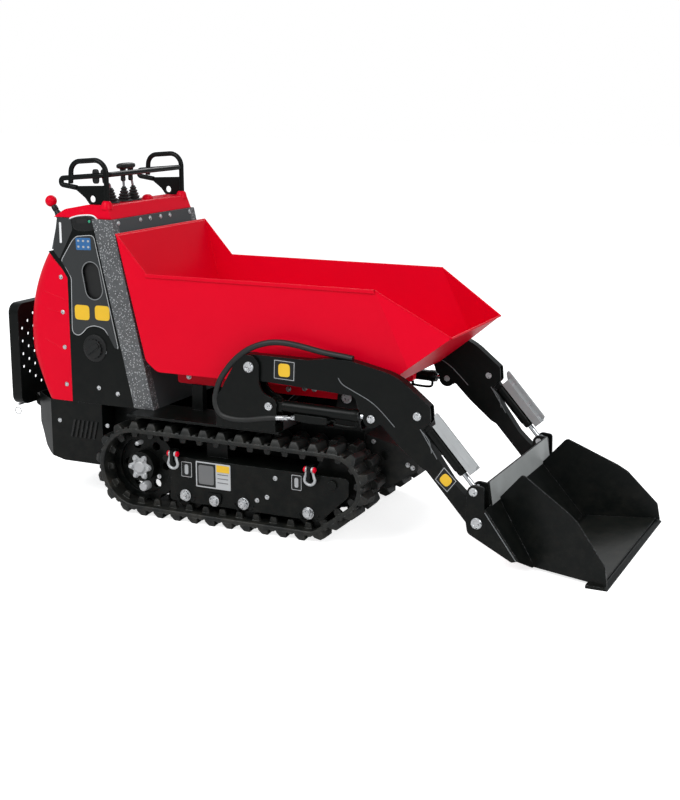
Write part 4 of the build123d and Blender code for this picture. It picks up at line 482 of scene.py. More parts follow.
@dataclass
class Stage:
    """Floor, world, lamps and camera."""

    azimuth: float = 25.294
    pitch: float = 12.570
    camera_place: tuple[float, float, float] = (2.3012, -4.6508, 1.6541)
    focal_length: float = 61.74
    sensor: float = 36.0
    shift_y: float = -0.01875
    floor_half: float = 30.0
    floor_grey: float = 0.82
    floor_glow: float = 0.78
    sky: Colour = (0.93, 0.97, 1.0, 1.0)
    sky_strength: float = 0.42
    aim: tuple[float, float, float] = (0.0, 0.0, 0.55)
    lamps: tuple[tuple[str, tuple[float, float, float], float, float], ...] = (
        # name, place, size, power
        ("key_lamp", (-1.6, -4.2, 4.6), 3.2, 185.0),
        ("front_lamp", (4.8, -2.4, 3.0), 3.0, 105.0),
        ("rim_lamp", (-1.0, 4.0, 4.4), 3.0, 110.0),
    )

    def build(self) -> None:
        """Set up the whole stage."""
        self.build_camera()
        self.build_world()
        self.build_floor()
        self.build_lamps()
        bpy.context.scene.view_settings.view_transform = "Standard"

    def build_camera(self) -> None:
        """Camera at the machine's front right, looking slightly down."""
        data = bpy.data.cameras.new("camera")
        data.sensor_width = self.sensor
        data.lens = self.focal_length
        data.shift_y = self.shift_y
        camera = bpy.data.objects.new("camera", data)
        camera.location = self.camera_place
        camera.rotation_euler = (math.radians(90.0 - self.pitch), 0.0, math.radians(self.azimuth))
        bpy.context.scene.collection.objects.link(camera)
        bpy.context.scene.camera = camera

    def build_world(self) -> None:
        """Soft grey light all round, and plain white where it is seen directly or through glass."""
        world = bpy.data.worlds.new("studio")
        world.use_nodes = True
        tree = world.node_tree
        tree.nodes.clear()
        path = add_node(tree, "LightPath").outputs
        seen = add_node(tree, "Math", {0: path["Is Camera Ray"], 1: path["Is Transmission Ray"]},
                        operation="MAXIMUM")
        soft = add_node(tree, "Background", {"Color": self.sky, "Strength": self.sky_strength})
        white = add_node(tree, "Background", {"Color": WHITE, "Strength": 1.0})
        mix = add_node(tree, "MixShader", {0: seen.outputs[0], 1: soft.outputs[0], 2: white.outputs[0]})
        add_node(tree, "OutputWorld", {"Surface": mix.outputs[0]})
        bpy.context.scene.world = world

    def build_floor(self) -> None:
        """Pale floor that fades to white where nothing shades it."""
        half = self.floor_half
        mesh = bpy.data.meshes.new("floor")
        mesh.from_pydata([(-half, -half, 0.0), (half, -half, 0.0), (half, half, 0.0), (-half, half, 0.0)], [],
                         [(0, 1, 2, 3)])
        floor = bpy.data.objects.new("floor", mesh)
        bpy.context.scene.collection.objects.link(floor)
        material = bpy.data.materials.new("floor")
        material.use_nodes = True
        tree = material.node_tree
        tree.nodes.clear()
        seen = add_node(tree, "LightPath").outputs["Is Camera Ray"]
        card = add_node(tree, "BsdfDiffuse", {"Color": (self.floor_grey,) * 3 + (1.0,)})
        glow = add_node(tree, "Emission", {"Color": WHITE, "Strength": self.floor_glow})
        both = add_node(tree, "AddShader", {0: card.outputs[0], 1: glow.outputs[0]})
        mix = add_node(tree, "MixShader", {0: seen, 1: card.outputs[0], 2: both.outputs[0]})
        add_node(tree, "OutputMaterial", {"Surface": mix.outputs[0]})
        mesh.materials.append(material)

    def build_lamps(self) -> None:
        """Large soft lamps: key above right, fill from the front, rim from behind."""
        for name, place, size, power in self.lamps:
            data = bpy.data.lights.new(name, "AREA")
            data.size = size
            data.energy = power
            lamp = bpy.data.objects.new(name, data)
            lamp.location = place
            x, y, z = np.array(self.aim) - np.array(place)
            lamp.rotation_euler = (math.atan2(math.hypot(x, y), -z), 0.0, math.atan2(-x, y))
            bpy.context.scene.collection.objects.link(lamp)


# --- shapes, in millimetres -------------------------------------------------------------------
SEAT = 0.3          # how far a flat piece stands into the face that carries it
LEFTWARDS = (0, 1, 0)
RIGHTWARDS = (0, -1, 0)
UPWARDS = (0, 0, 1)


def millimetres(node: str) -> tuple[Array, Array]:
    """Lowest and highest corners of a CAD node, in millimetres."""
    low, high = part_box(node)
    return np.array(low) / MM, np.array(high) / MM


def unit(vector: Array) -> Array:
    """The same direction with a length of one."""
    return np.asarray(vector, float) / np.linalg.norm(vector)


def across(axis: Array) -> tuple[Array, Array]:
    """Two unit vectors square to an axis and to each other."""
    guide = np.eye(3)[np.argmin(np.abs(axis))]
    first = unit(np.cross(axis, guide))
    return first, np.cross(unit(axis), first)


def turned(profile: Array, place: Array, axis: Array, segments: int = 28) -> Array:
    """Surface of revolution: place + radius (cos t first + sin t second) + height axis.

    Args:
        profile: (radius, height) rows.
        place: where height is zero.
        axis: direction of the axis.
        segments: points round it; six make a hexagon.

    Returns:
        A grid of points, one row for each profile row.
    """
    rows = np.asarray(profile, float)
    first, second = across(axis)
    angle = np.linspace(0.0, 2 * np.pi, segments, endpoint=False)
    spokes = np.outer(np.cos(angle), first) + np.outer(np.sin(angle), second)
    return np.asarray(place, float) + rows[:, 0, None, None] * spokes + rows[:, 1, None, None] * unit(axis)


def at_y(outline: Array, y: float) -> Array:
    """Side-view (x, z) points placed at one y."""
    return np.insert(np.asarray(outline, float), 1, y, axis=1)


def mirrored(*routes: Array) -> list[Array]:
    """Each route and its mirror image on the other side."""
    return [np.asarray(route, float) * (1, side, 1) for route in routes for side in (1, -1)]


def circle(middle: Array, radius: float | Array, turn: Array) -> Array:
    """Side-view points: middle + radius (cos t, sin t)."""
    return np.array(middle) + np.asarray(radius)[..., None] * np.stack([np.cos(turn), np.sin(turn)], axis=1)


def plate(outline: Array, y_low: float, y_high: float) -> Array:
    """Flat plate from an (x, z) outline, between two places in y."""
    return np.stack([at_y(outline, y_low), at_y(outline, y_high)])


def rounded(outline: Array, radius: float, steps: int = 5) -> Array:
    """Outline with its corners cut by curves: (1-t)^2 start + 2t(1-t) corner + t^2 end."""
    corner = np.asarray(outline, float)
    before, after = np.roll(corner, 1, axis=0) - corner, np.roll(corner, -1, axis=0) - corner
    before_length = np.linalg.norm(before, axis=1, keepdims=True)
    after_length = np.linalg.norm(after, axis=1, keepdims=True)
    start = corner + before / before_length * np.minimum(radius, 0.45 * before_length)
    end = corner + after / after_length * np.minimum(radius, 0.45 * after_length)
    t = np.linspace(0.0, 1.0, steps)[None, :, None]
    arcs = (1 - t) ** 2 * start[:, None] + 2 * t * (1 - t) * corner[:, None] + t ** 2 * end[:, None]
    return arcs.reshape(-1, 2)


def inset(outline: Array, distance: float) -> Array:
    """Outline moved inwards, its corners mitred."""
    corner = np.asarray(outline, float)
    before, after = corner - np.roll(corner, 1, axis=0), np.roll(corner, -1, axis=0) - corner
    area = np.sum(corner[:, 0] * np.roll(corner[:, 1], -1) - np.roll(corner[:, 0], -1) * corner[:, 1])
    first, second = (np.stack([-run[:, 1], run[:, 0]], axis=1) / np.linalg.norm(run, axis=1, keepdims=True)
                     for run in (before, after))
    share = 1.0 + np.sum(first * second, axis=1, keepdims=True)
    return corner + np.sign(area) * distance * (first + second) / share


def leaning(points: Array, tilt: float) -> Array:
    """Side-view points turned about the origin by a tilt in degrees."""
    cosine, sine = math.cos(math.radians(tilt)), math.sin(math.radians(tilt))
    return points @ np.array(((cosine, sine), (-sine, cosine)))


def box_outline(x_low: float, x_high: float, z_low: float, z_high: float, tilt: float = 0.0) -> Array:
    """Rectangle in the side view, turned by a tilt in degrees about its middle."""
    middle = np.array(((x_low + x_high) / 2, (z_low + z_high) / 2))
    half_x, half_z = (x_high - x_low) / 2, (z_high - z_low) / 2
    corner = np.array(((-half_x, -half_z), (half_x, -half_z), (half_x, half_z), (-half_x, half_z)))
    return middle + leaning(corner, tilt)


def oval_outline(middle: tuple[float, float], half_length: float, radius: float, tilt: float) -> Array:
    """Upright slot with round ends, leaning by a tilt in degrees."""
    turn = np.linspace(0.0, 2 * np.pi, 64, endpoint=False)
    upright = circle((0.0, 0.0), radius, turn)
    upright[:, 1] += np.sign(np.sin(turn)) * (half_length - radius)
    return np.array(middle) + leaning(upright, tilt)


def band(outer: Array, inner: Array) -> list[Array]:
    """The area between two outlines, as two halves that meet on a line through the inner one."""
    def sampled(outline: Array) -> Array:
        """The same outline as evenly turned rays from the inner one's middle see it."""
        spokes = outline - middle
        angle = np.unwrap(np.arctan2(spokes[:, 1], spokes[:, 0]))
        if angle[-1] < angle[0]:
            angle, spokes = angle[::-1], spokes[::-1]
        turn = np.linspace(angle[0], angle[0] + 2 * np.pi, 241)[:-1]
        closed = np.append(angle, angle[0] + 2 * np.pi)
        return middle + np.stack([np.interp(turn, closed, np.append(spokes[:, axis], spokes[0, axis]))
                                  for axis in (0, 1)], axis=1)
    middle = inner.mean(axis=0)
    ring, core = sampled(outer), sampled(inner)
    shift = np.argmin(np.linalg.norm(core - ring[0], axis=1))
    core = np.roll(core, -shift, axis=0)
    return [np.vstack([ring[:121], core[:121][::-1]]),
            np.vstack([ring[120:], ring[:1], core[:1], core[120:][::-1]])]


def blob(middle: Array, halves: Array, power: float = 0.6, steps: int = 20) -> Array:
    """Rounded block: each axis is its half size times sign(c) |c| to a power, c from a sphere."""
    height = np.linspace(-np.pi / 2 + 0.05, np.pi / 2 - 0.05, steps)[:, None]
    angle = np.linspace(0.0, 2 * np.pi, 2 * steps, endpoint=False)[None, :]
    sphere = np.stack([np.cos(height) * np.cos(angle), np.cos(height) * np.sin(angle),
                       np.sin(height) * np.ones_like(angle)], axis=-1)
    return np.asarray(middle, float) + np.sign(sphere) * np.abs(sphere) ** power * np.asarray(halves, float)


@dataclass
class Shell:
    """One piece's surface, gathered from grids of points in millimetres."""

    name: str
    points: list[Array] = field(default_factory=list)
    faces: list[list[int]] = field(default_factory=list)
    count: int = 0

    def add(self, grid: Array, looped: bool = False) -> "Shell":
        """Add a tube-like surface: rows along it, columns closed round it.

        Args:
            grid: rows x columns x 3 points.
            looped: the last row joins the first; otherwise both ends get a flat cap.

        Returns:
            The shell itself.
        """
        rows, columns = grid.shape[:2]
        index = np.arange(rows * columns).reshape(rows, columns) + self.count
        ends = [] if looped else [index[0, ::-1].tolist(), index[-1].tolist()]
        if looped:
            index = np.vstack([index, index[:1]])
        index = np.hstack([index, index[:, :1]])
        quads = np.stack([index[:-1, :-1], index[1:, :-1], index[1:, 1:], index[:-1, 1:]], axis=-1)
        self.faces += quads.reshape(-1, 4).tolist() + ends
        self.points.append(grid.reshape(-1, 3))
        self.count += rows * columns
        return self

    def bolt(self, place: Array, axis: Array, width: float, height: float, washer: float) -> "Shell":
        """Add a washer and a hexagon head with a chamfered crown."""
        self.add(turned(((washer, -1.0), (washer, 1.4), (washer * 0.94, 2.2)), place, axis))
        return self.add(turned(((width, 1.0), (width, height * 0.78), (width * 0.84, height)), place, axis,
                               6))

    def both_sides(self) -> "Shell":
        """Add the mirror image of everything so far."""
        flip = np.array((1.0, -1.0, 1.0))
        self.faces += [[corner + self.count for corner in face] for face in self.faces]
        self.points += [grid * flip for grid in self.points]
        self.count *= 2
        return self


@dataclass
class Workshop:
    """Turns shells and routes into dressed pieces."""

    shelf: FinishShelf

    def piece(self, shell: Shell, body: Body | None, finish: str, bevel: float = 0.0) -> bpy.types.Object:
        """Make a piece from a shell.

        Args:
            shell: its surface, in millimetres.
            body: what it rides on, or None where it is blended afterwards.
            finish: name of its finish.
            bevel: width of its edge bevels, in millimetres.

        Returns:
            The new object.
        """
        mesh = bpy.data.meshes.new(shell.name)
        mesh.from_pydata((np.concatenate(shell.points) * MM).tolist(), [], shell.faces)
        return self.dress(mesh, body, finish, bevel)

    def hose(self, name: str, routes: list[Array], radius: float, body: Body | None, finish: str,
             order: int = 4) -> bpy.types.Object:
        """Make round tubes along smooth routes, in one piece.

        Args:
            name: the piece's name.
            routes: control points of each route, in millimetres.
            radius: radius of the tube.
            body: what it rides on, or None where it is blended afterwards.
            finish: name of its finish.
            order: order of the NURBS line; 2 keeps straight runs.

        Returns:
            The new object.
        """
        curve = bpy.data.curves.new(name, "CURVE")
        curve.dimensions = "3D"
        curve.bevel_depth = radius * MM
        curve.bevel_resolution = 5
        curve.use_fill_caps = True
        for route in routes:
            spline = curve.splines.new("NURBS")
            spline.points.add(len(route) - 1)
            placed = np.c_[np.asarray(route, float) * MM, np.ones(len(route))]
            spline.points.foreach_set("co", placed.ravel())
            spline.order_u = order
            spline.use_endpoint_u = True
            spline.resolution_u = 8
        holder = bpy.data.objects.new(name, curve)
        mesh = bpy.data.meshes.new_from_object(holder)
        bpy.data.objects.remove(holder)
        bpy.data.curves.remove(curve)
        mesh.name = name
        return self.dress(mesh, body, finish, 0.0)

    def dress(self, mesh: bpy.types.Mesh, body: Body | None, finish: str, bevel: float) -> bpy.types.Object:
        """Turn a mesh's faces outwards, and give it its object, finish and body."""
        work = bmesh.new()
        work.from_mesh(mesh)
        bmesh.ops.remove_doubles(work, verts=work.verts, dist=1e-6)
        bmesh.ops.recalc_face_normals(work, faces=work.faces)
        work.to_mesh(mesh)
        work.free()
        mesh.shade_smooth()
        mesh.set_sharp_from_angle(angle=math.radians(38.0))
        mesh.materials.clear()
        mesh.materials.append(self.shelf.materials[finish])
        piece = bpy.data.objects.new(mesh.name, mesh)
        bpy.context.scene.collection.objects.link(piece)
        if bevel:
            edge = piece.modifiers.new("edges", "BEVEL")
            edge.width = bevel * MM
            edge.segments = 2
            edge.limit_method = "ANGLE"
            edge.angle_limit = math.radians(30.0)
        if body is not None:
            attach(piece, body.value)
        LOG.info("%s: %d faces on %s", mesh.name, len(mesh.polygons), body)
        return piece


# --- tracks -----------------------------------------------------------------------------------
@dataclass
class RubberTrack:
    """An endless rubber track round its sprocket, front roller and idler.

    Attributes:
        shop: where the pieces are made.
        width, belt, lug: width of the track, thickness of its belt and height of its lugs.
        pitch: distance from lug to lug in one row.
        horn: height of the guide horns inside.
    """

    shop: Workshop
    width: float = 180.0
    belt: float = 20.0
    lug: float = 24.0
    pitch: float = 72.0
    horn: float = 24.0

    def build(self) -> None:
        """Measure the wheels on each side and build both tracks."""
        for side in ("left", "right"):
            low, high = millimetres(f"track_{side}")
            self.middle = (low[1] + high[1]) / 2
            self.wheels = [self.wheel(f"sprocket_{side}"), self.front_roller(f"rollers_{side}"),
                           self.wheel(f"idler_{side}")]
            shell = Shell(f"track_rubber_{side}")
            shell.add(self.belt_grid(), looped=True)
            stations = round(self.stations(4)[2] / self.pitch)
            for sign, phase in ((-1.0, 0.0), (1.0, 0.5)):
                self.add_blocks(shell, self.lug_template(sign), stations, phase, self.belt)
                self.add_blocks(shell, self.rib_template(sign), stations, phase + 0.5, self.belt)
                self.add_blocks(shell, self.horn_template(sign), stations, 0.25, 0.0)
            piece = self.shop.piece(shell, Body.CHASSIS, "track_rubber", bevel=2.2)
            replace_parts(piece, f"track_{side}")

    @staticmethod
    def wheel(node: str) -> tuple[float, float, float]:
        """Middle and radius of a wheel in the side view."""
        low, high = millimetres(node)
        return (low[0] + high[0]) / 2, (low[2] + high[2]) / 2, (high[2] - low[2]) / 2 + 0.5

    @staticmethod
    def front_roller(node: str) -> tuple[float, float, float]:
        """Middle and radius of the foremost roller."""
        low, high = millimetres(node)
        radius = (high[2] - low[2]) / 2
        return high[0] - radius, (low[2] + high[2]) / 2, radius + 0.5

    def stations(self, count: int, phase: float = 0.0, height: float = 0.0) -> tuple[Array, Array, float]:
        """Evenly spaced places on the taut belt.

        Args:
            count: how many.
            phase: share of a step to start at.
            height: how far outside the wheels the line runs.

        Returns:
            Points and outward directions in the side view, and the line's length.
        """
        points, angles, turns = [], [], []
        for index, (x, z, radius) in enumerate(self.wheels):
            next_x, next_z, next_radius = self.wheels[(index + 1) % 3]
            run = math.hypot(next_x - x, next_z - z)
            turns.append(math.atan2(next_z - z, next_x - x) - math.acos((radius - next_radius) / run))
        for index, (x, z, radius) in enumerate(self.wheels):
            start, end = turns[index - 1], turns[index]
            end += 2 * math.pi * math.ceil((start - end) / (2 * math.pi))
            arc = np.linspace(start, end, 60)
            points.append(circle((x, z), radius + height, arc))
            angles.append(arc)
        path, angle = np.concatenate(points), np.unwrap(np.concatenate(angles))
        path, angle = np.vstack([path, path[:1]]), np.append(angle, angle[0] + 2 * math.pi)
        reach = np.append(0.0, np.cumsum(np.linalg.norm(np.diff(path, axis=0), axis=1)))
        places = (np.arange(count) + phase) / count % 1.0 * reach[-1]
        point = np.stack([np.interp(places, reach, path[:, axis]) for axis in (0, 1)], axis=1)
        turn = np.interp(places, reach, angle)
        return point, np.stack([np.cos(turn), np.sin(turn)], axis=1), reach[-1]

    def belt_grid(self) -> Array:
        """Belt: a rounded flat section carried round the taut line, with a raised edge bead."""
        half, top = self.width / 2, self.belt
        section = np.array(((-half + 4, 0.5), (-half, 4), (-half, top - 6), (-half + 3, top - 1),
                            (-half + 10, top - 3), (half - 10, top - 3), (half - 3, top - 1), (half,
                                                                                               top - 6),
                                                                                               (half, 4),
                                                                                               (half - 4,
                                                                                                0.5)))
        point, out, _ = self.stations(260)
        side = np.broadcast_to(section[None, :, 0] + self.middle, (len(point), len(section)))
        flat = point[:, None] + out[:, None] * section[None, :, 1, None]
        return np.stack([flat[..., 0], side, flat[..., 1]], axis=-1)

    def lug_template(self, sign: float) -> Array:
        """Lug as rows of (along, across, height): a foot, a waist and a smaller, swept crown."""
        rows = []
        for height, half, reach, sweep in ((-4.0, 22.0, 88.0, 0.0), (5.0, 20.0, 87.0, 0.0),
                                           (self.lug - 6, 14.0, 81.0, 3.0), (self.lug, 11.5, 76.0, 4.0)):
            rows.append(((-half - sweep, 3.0, height), (half - sweep, 3.0, height),
                         (half + sweep, reach, height), (-half + sweep, reach, height)))
        return np.array(rows) * (1.0, sign, 1.0)

    def rib_template(self, sign: float) -> Array:
        """Low rib between two lugs, at the belt's edge."""
        rows = [((-9.0, 60.0, height), (9.0, 60.0, height), (7.0, reach, height), (-7.0, reach, height))
                for height, reach in ((-4.0, 89.5), (3.5, 86.0))]
        return np.array(rows) * (1.0, sign, 1.0)

    def horn_template(self, sign: float) -> Array:
        """Guide horn inside the belt, narrowing away from it."""
        rows = [((-half, 46.0, height), (half, 46.0, height), (half, 60.0, height), (-half, 60.0, height))
                for height, half in ((4.0, 17.0), (-self.horn + 6.0, 12.0), (-self.horn, 9.0))]
        return np.array(rows) * (1.0, sign, 1.0)

    def add_blocks(self, shell: Shell, template: Array, count: int, phase: float, height: float) -> None:
        """Add one block of a template at each station."""
        point, out, _ = self.stations(count, phase, height)
        along = np.stack([-out[:, 1], out[:, 0]], axis=1)
        flat = (point[:, None, None] + along[:, None, None] * template[None, ..., 0, None]
                + out[:, None, None] * template[None, ..., 2, None])
        side = np.broadcast_to(template[None, ..., 1] + self.middle, flat.shape[:-1])
        for block in np.stack([flat[..., 0], side, flat[..., 1]], axis=-1):
            shell.add(block)


@dataclass
class Decals:
    """Blank stuck-on plates: a pale rim, a dark field and plain coloured patches.

    Attributes:
        shop: where the pieces are made.
        layer: thickness of one layer.
    """

    shop: Workshop
    layer: float = 0.25

    def build(self, name: str, body: Body, y_face: float, layers: list[tuple[str, list[Array]]]) -> None:
        """Stack layers on a face whose outside is towards -y.

        Args:
            name: start of the pieces' names.
            body: what they ride on.
            y_face: the face that carries them.
            layers: a finish and its outlines, from the lowest up.
        """
        for level, (finish, outlines) in enumerate(layers):
            shell = Shell(f"{name}_{finish}")
            for outline in outlines:
                shell.add(plate(outline, y_face + SEAT, y_face - self.layer * (level + 1)))
            self.shop.piece(shell, body, finish)

    @staticmethod
    def patch(x_low: float, x_high: float, z_low: float, z_high: float, tilt: float = 0.0,
              radius: float = 5.0) -> Array:
        """Rounded rectangle."""
        return rounded(box_outline(x_low, x_high, z_low, z_high, tilt), radius)


# --- running gear -----------------------------------------------------------------------------
@dataclass
class RunningGear:
    """What is bolted, stuck or hung on the track frames, and the sprockets' hubs."""

    shop: Workshop
    decals: Decals
    wheel_bolts: tuple[tuple[float, float], ...] = ((-369.0, 108.0), (-117.0, 108.0), (153.0, 108.0))
    frame_bolts: tuple[tuple[float, float], ...] = ((17.0, 223.0), (-18.0, 146.0), (-486.0, 167.0), (-60.0,
                                                                                                     128.0))
    middle_bolt: tuple[float, float] = (-240.0, 104.0)
    axle_caps: tuple[tuple[float, float, float], ...] = ((-559.0, 117.0, 18.0), (-582.0, 287.0, 9.0))
    shackles: tuple[tuple[float, float], ...] = ((-409.0, 272.0), (169.0, 280.0))
    lobes: int = 6
    hub_radius: float = 43.0
    lobe_height: float = 9.0
    bolt_circle: float = 39.0
    tab_thickness: float = 8.0

    def build(self) -> None:
        """Build everything on both tracks, and the stickers on the right-hand one."""
        self.axle_end = millimetres("rollers_left")[1][1]
        self.face = self.axle_end - 9.3
        self.build_hubs()
        self.build_bolts()
        self.build_shackles()
        self.build_stickers()
        self.build_doublers()

    def build_hubs(self) -> None:
        """Silver star on each sprocket's hub, with its bolts and a middle boss."""
        low, high = millimetres("sprocket_left")
        x, z = (low[0] + high[0]) / 2, (low[2] + high[2]) / 2
        hub_y = high[1] - 8.0
        angle = np.linspace(0.0, 2 * np.pi, 96, endpoint=False)
        star = circle((x, z), self.hub_radius + self.lobe_height * np.cos(self.lobes * angle), angle)
        shell = Shell("hub_stars").add(plate(star, hub_y - SEAT, hub_y + 6.0))
        shell.add(turned(((24.0, 0.0), (24.0, 10.0), (20.0, 14.0), (8.0, 15.0)), (x, hub_y, z), LEFTWARDS))
        places = circle((x, z), self.bolt_circle, np.arange(self.lobes) * 2 * np.pi / self.lobes)
        for place in at_y(places, hub_y + 6.0):
            shell.bolt(place, LEFTWARDS, 9.5, 9.0, 12.0)
        self.shop.piece(shell.both_sides(), Body.CHASSIS, "cast_silver", bevel=0.8)
        caps = Shell("axle_caps")
        for x, z, radius in self.axle_caps:
            caps.add(turned(((radius, -30.0), (radius, 2.0), (radius - 3.0, 6.0), (radius * 0.5, 7.0)),
                            (x, self.face, z), LEFTWARDS))
        self.shop.piece(caps.both_sides(), Body.CHASSIS, "cast_silver")

    def build_bolts(self) -> None:
        """Wheel bolts through the frames, with wide washers, and the small bolts between them."""
        shell = Shell("wheel_bolts")
        for place in at_y(self.wheel_bolts, self.axle_end):
            shell.add(turned(((23.0, -9.0), (23.0, -5.0), (21.5, -4.0)), place, LEFTWARDS))
            shell.bolt(place, LEFTWARDS, 15.0, 12.0, 19.0)
        shell.bolt(at_y([self.middle_bolt], self.face + self.tab_thickness)[0], LEFTWARDS, 15.0, 12.0, 21.0)
        for place in at_y(self.frame_bolts, self.face):
            shell.bolt(place, LEFTWARDS, 6.5, 5.0, 9.0)
        self.shop.piece(shell.both_sides(), Body.CHASSIS, "zinc_bolts", bevel=0.7)

    def build_doublers(self) -> None:
        """Tab that carries the middle bolt, and the dark rims round the wheels' slots."""
        tab = rounded(np.array(((-270.0, 132.0), (-262.0, 84.0), (-218.0, 84.0), (-208.0, 132.0))), 14.0)
        shell = Shell("frame_doublers").add(plate(tab, self.face - SEAT, self.face + self.tab_thickness))
        for x, z in self.wheel_bolts:
            turn = np.linspace(math.radians(200.0), math.radians(340.0), 18)
            outer, inner = (circle((x, z + 10.0), radius, turn) for radius in (46.0, 39.0))
            rim = np.vstack([outer, inner[::-1]])
            rim[:, 1] = np.maximum(rim[:, 1], 84.0)
            shell.add(plate(rim, self.face - SEAT, self.face + 3.0))
        self.shop.piece(shell.both_sides(), Body.CHASSIS, "black_powder_coat", bevel=1.0)

    def build_shackles(self) -> None:
        """Bow shackles on the frames' ears, their pins with red heads."""
        y = millimetres("shackles")[1][1] - 6.0
        routes, eyes, heads = [], Shell("shackle_eyes"), Shell("shackle_pins")
        for x, z in self.shackles:
            turn = np.radians(np.linspace(-140.0, 140.0, 9))
            bow = np.stack([x + 22.0 * np.sin(turn), np.full(9, y), z - 38.0 - 20.0 * np.cos(turn)], axis=1)
            bow = np.vstack([(x - 12.0, y, z), bow, (x + 12.0, y, z)])
            routes += mirrored(bow)
            for sign in (-1, 1):
                eyes.add(turned(((9.5, 7.5), (11.0, 9.0), (11.0, 14.0), (9.5, 15.5)), (x, y, z), (sign, 0,
                                                                                                  0)))
                heads.add(turned(((9.0, 15.0), (10.5, 16.5), (10.5, 21.0), (7.0, 24.0)), (x, y, z), (sign,
                                                                                                     0, 0)))
            eyes.add(turned(((6.5, -16.0), (6.5, 16.0)), (x, y, z), (1, 0, 0)))
        bows = self.shop.hose("shackle_bows", routes, 5.5, Body.CHASSIS, "cast_silver")
        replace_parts(bows, "shackles")
        self.shop.piece(eyes.both_sides(), Body.CHASSIS, "cast_silver")
        self.shop.piece(heads.both_sides(), Body.CHASSIS, "red_moulding")

    def build_stickers(self) -> None:
        """Blank plate and two small blank stickers on the right-hand frame."""
        patch = self.decals.patch
        outer = box_outline(-322.0, -172.0, 149.0, 249.0)
        self.decals.build("frame_plate", Body.CHASSIS, -self.face, [
            ("decal_pale", [rounded(outer, 4.0)]),
            ("decal_dark", [patch(-317.0, -236.0, 154.0, 244.0, radius=2.0)]),
            ("decal_yellow", [patch(-232.0, -177.0, 216.0, 243.0, radius=2.0)]),
            ("decal_grey", [patch(-310.0, -244.0, 162.0, 236.0, radius=9.0)]
             + [patch(-228.0, -182.0, z, z + 3.0, radius=1.0) for z in (206.0, 190.0, 174.0)]),
        ])
        for name, x_low, x_high, z_low, z_high in (("rear", -386.0, -340.0, 181.0, 240.0),
                                                   ("front", 84.0, 125.0, 189.0, 246.0)):
            frame_line = box_outline(x_low, x_high, z_low, z_high)
            middle = (x_low + x_high) / 2
            self.decals.build(f"hook_sticker_{name}", Body.CHASSIS, -self.face, [
                ("decal_pale", [rounded(frame_line, 5.0)]),
                ("decal_dark", [rounded(inset(frame_line, 2.2), 4.0)]),
                ("decal_pale_mark", [patch(middle - 8.0, middle + 8.0, z_low + 10.0, z_high - 10.0,
                                           radius=8.0)]),
            ])


# --- arms -------------------------------------------------------------------------------------
CYLINDER_Y = 370.0
LIFT_LINE = np.array(((8.0, 500.0), (408.0, 492.0)))
TILT_LINE = np.array(((582.0, 520.0), (796.0, 280.0)))
GUARD_LINE = np.array(((660.7, 509.8), (800.5, 353.1)))
PINS = {
    # node: its body, then for each pin x, z, shank radius, y of the shank's two ends,
    # head radius and y of the head's face
    "pivot_pins": (Body.CHASSIS, (
        (-72.0, 638.0, 15.0, 338.5, 401.8, 20.0, 408.8), (8.0, 500.0, 12.0, 338.5, 401.8, 15.0, 408.8),
        (240.0, 518.0, 14.0, 170.0, 230.3, 20.0, 237.3), (-230.0, 300.0, 12.0, -21.5, 21.8, 15.0, 28.8))),
    "arm_pins": (Body.ARMS, (
        (408.0, 492.0, 12.0, 383.5, 390.3, 15.0, 397.3), (408.0, 492.0, 12.0, 350.0, 356.5, 12.0, 356.5),
        (582.0, 520.0, 12.0, 350.0, 390.3, 15.0, 397.3))),
    "bucket_pins": (Body.BUCKET, (
        (810.0, 170.0, 15.0, 338.5, 401.8, 20.0, 408.8), (796.0, 280.0, 12.0, 391.5, 401.8, 15.0, 408.8),
        (796.0, 280.0, 12.0, 338.5, 348.5, 12.0, 348.5))),
}


def axes(line: Array) -> tuple[Array, Array]:
    """Unit directions along a side-view line and square to it."""
    run = unit(line[1] - line[0])
    return run, np.array((-run[1], run[0]))


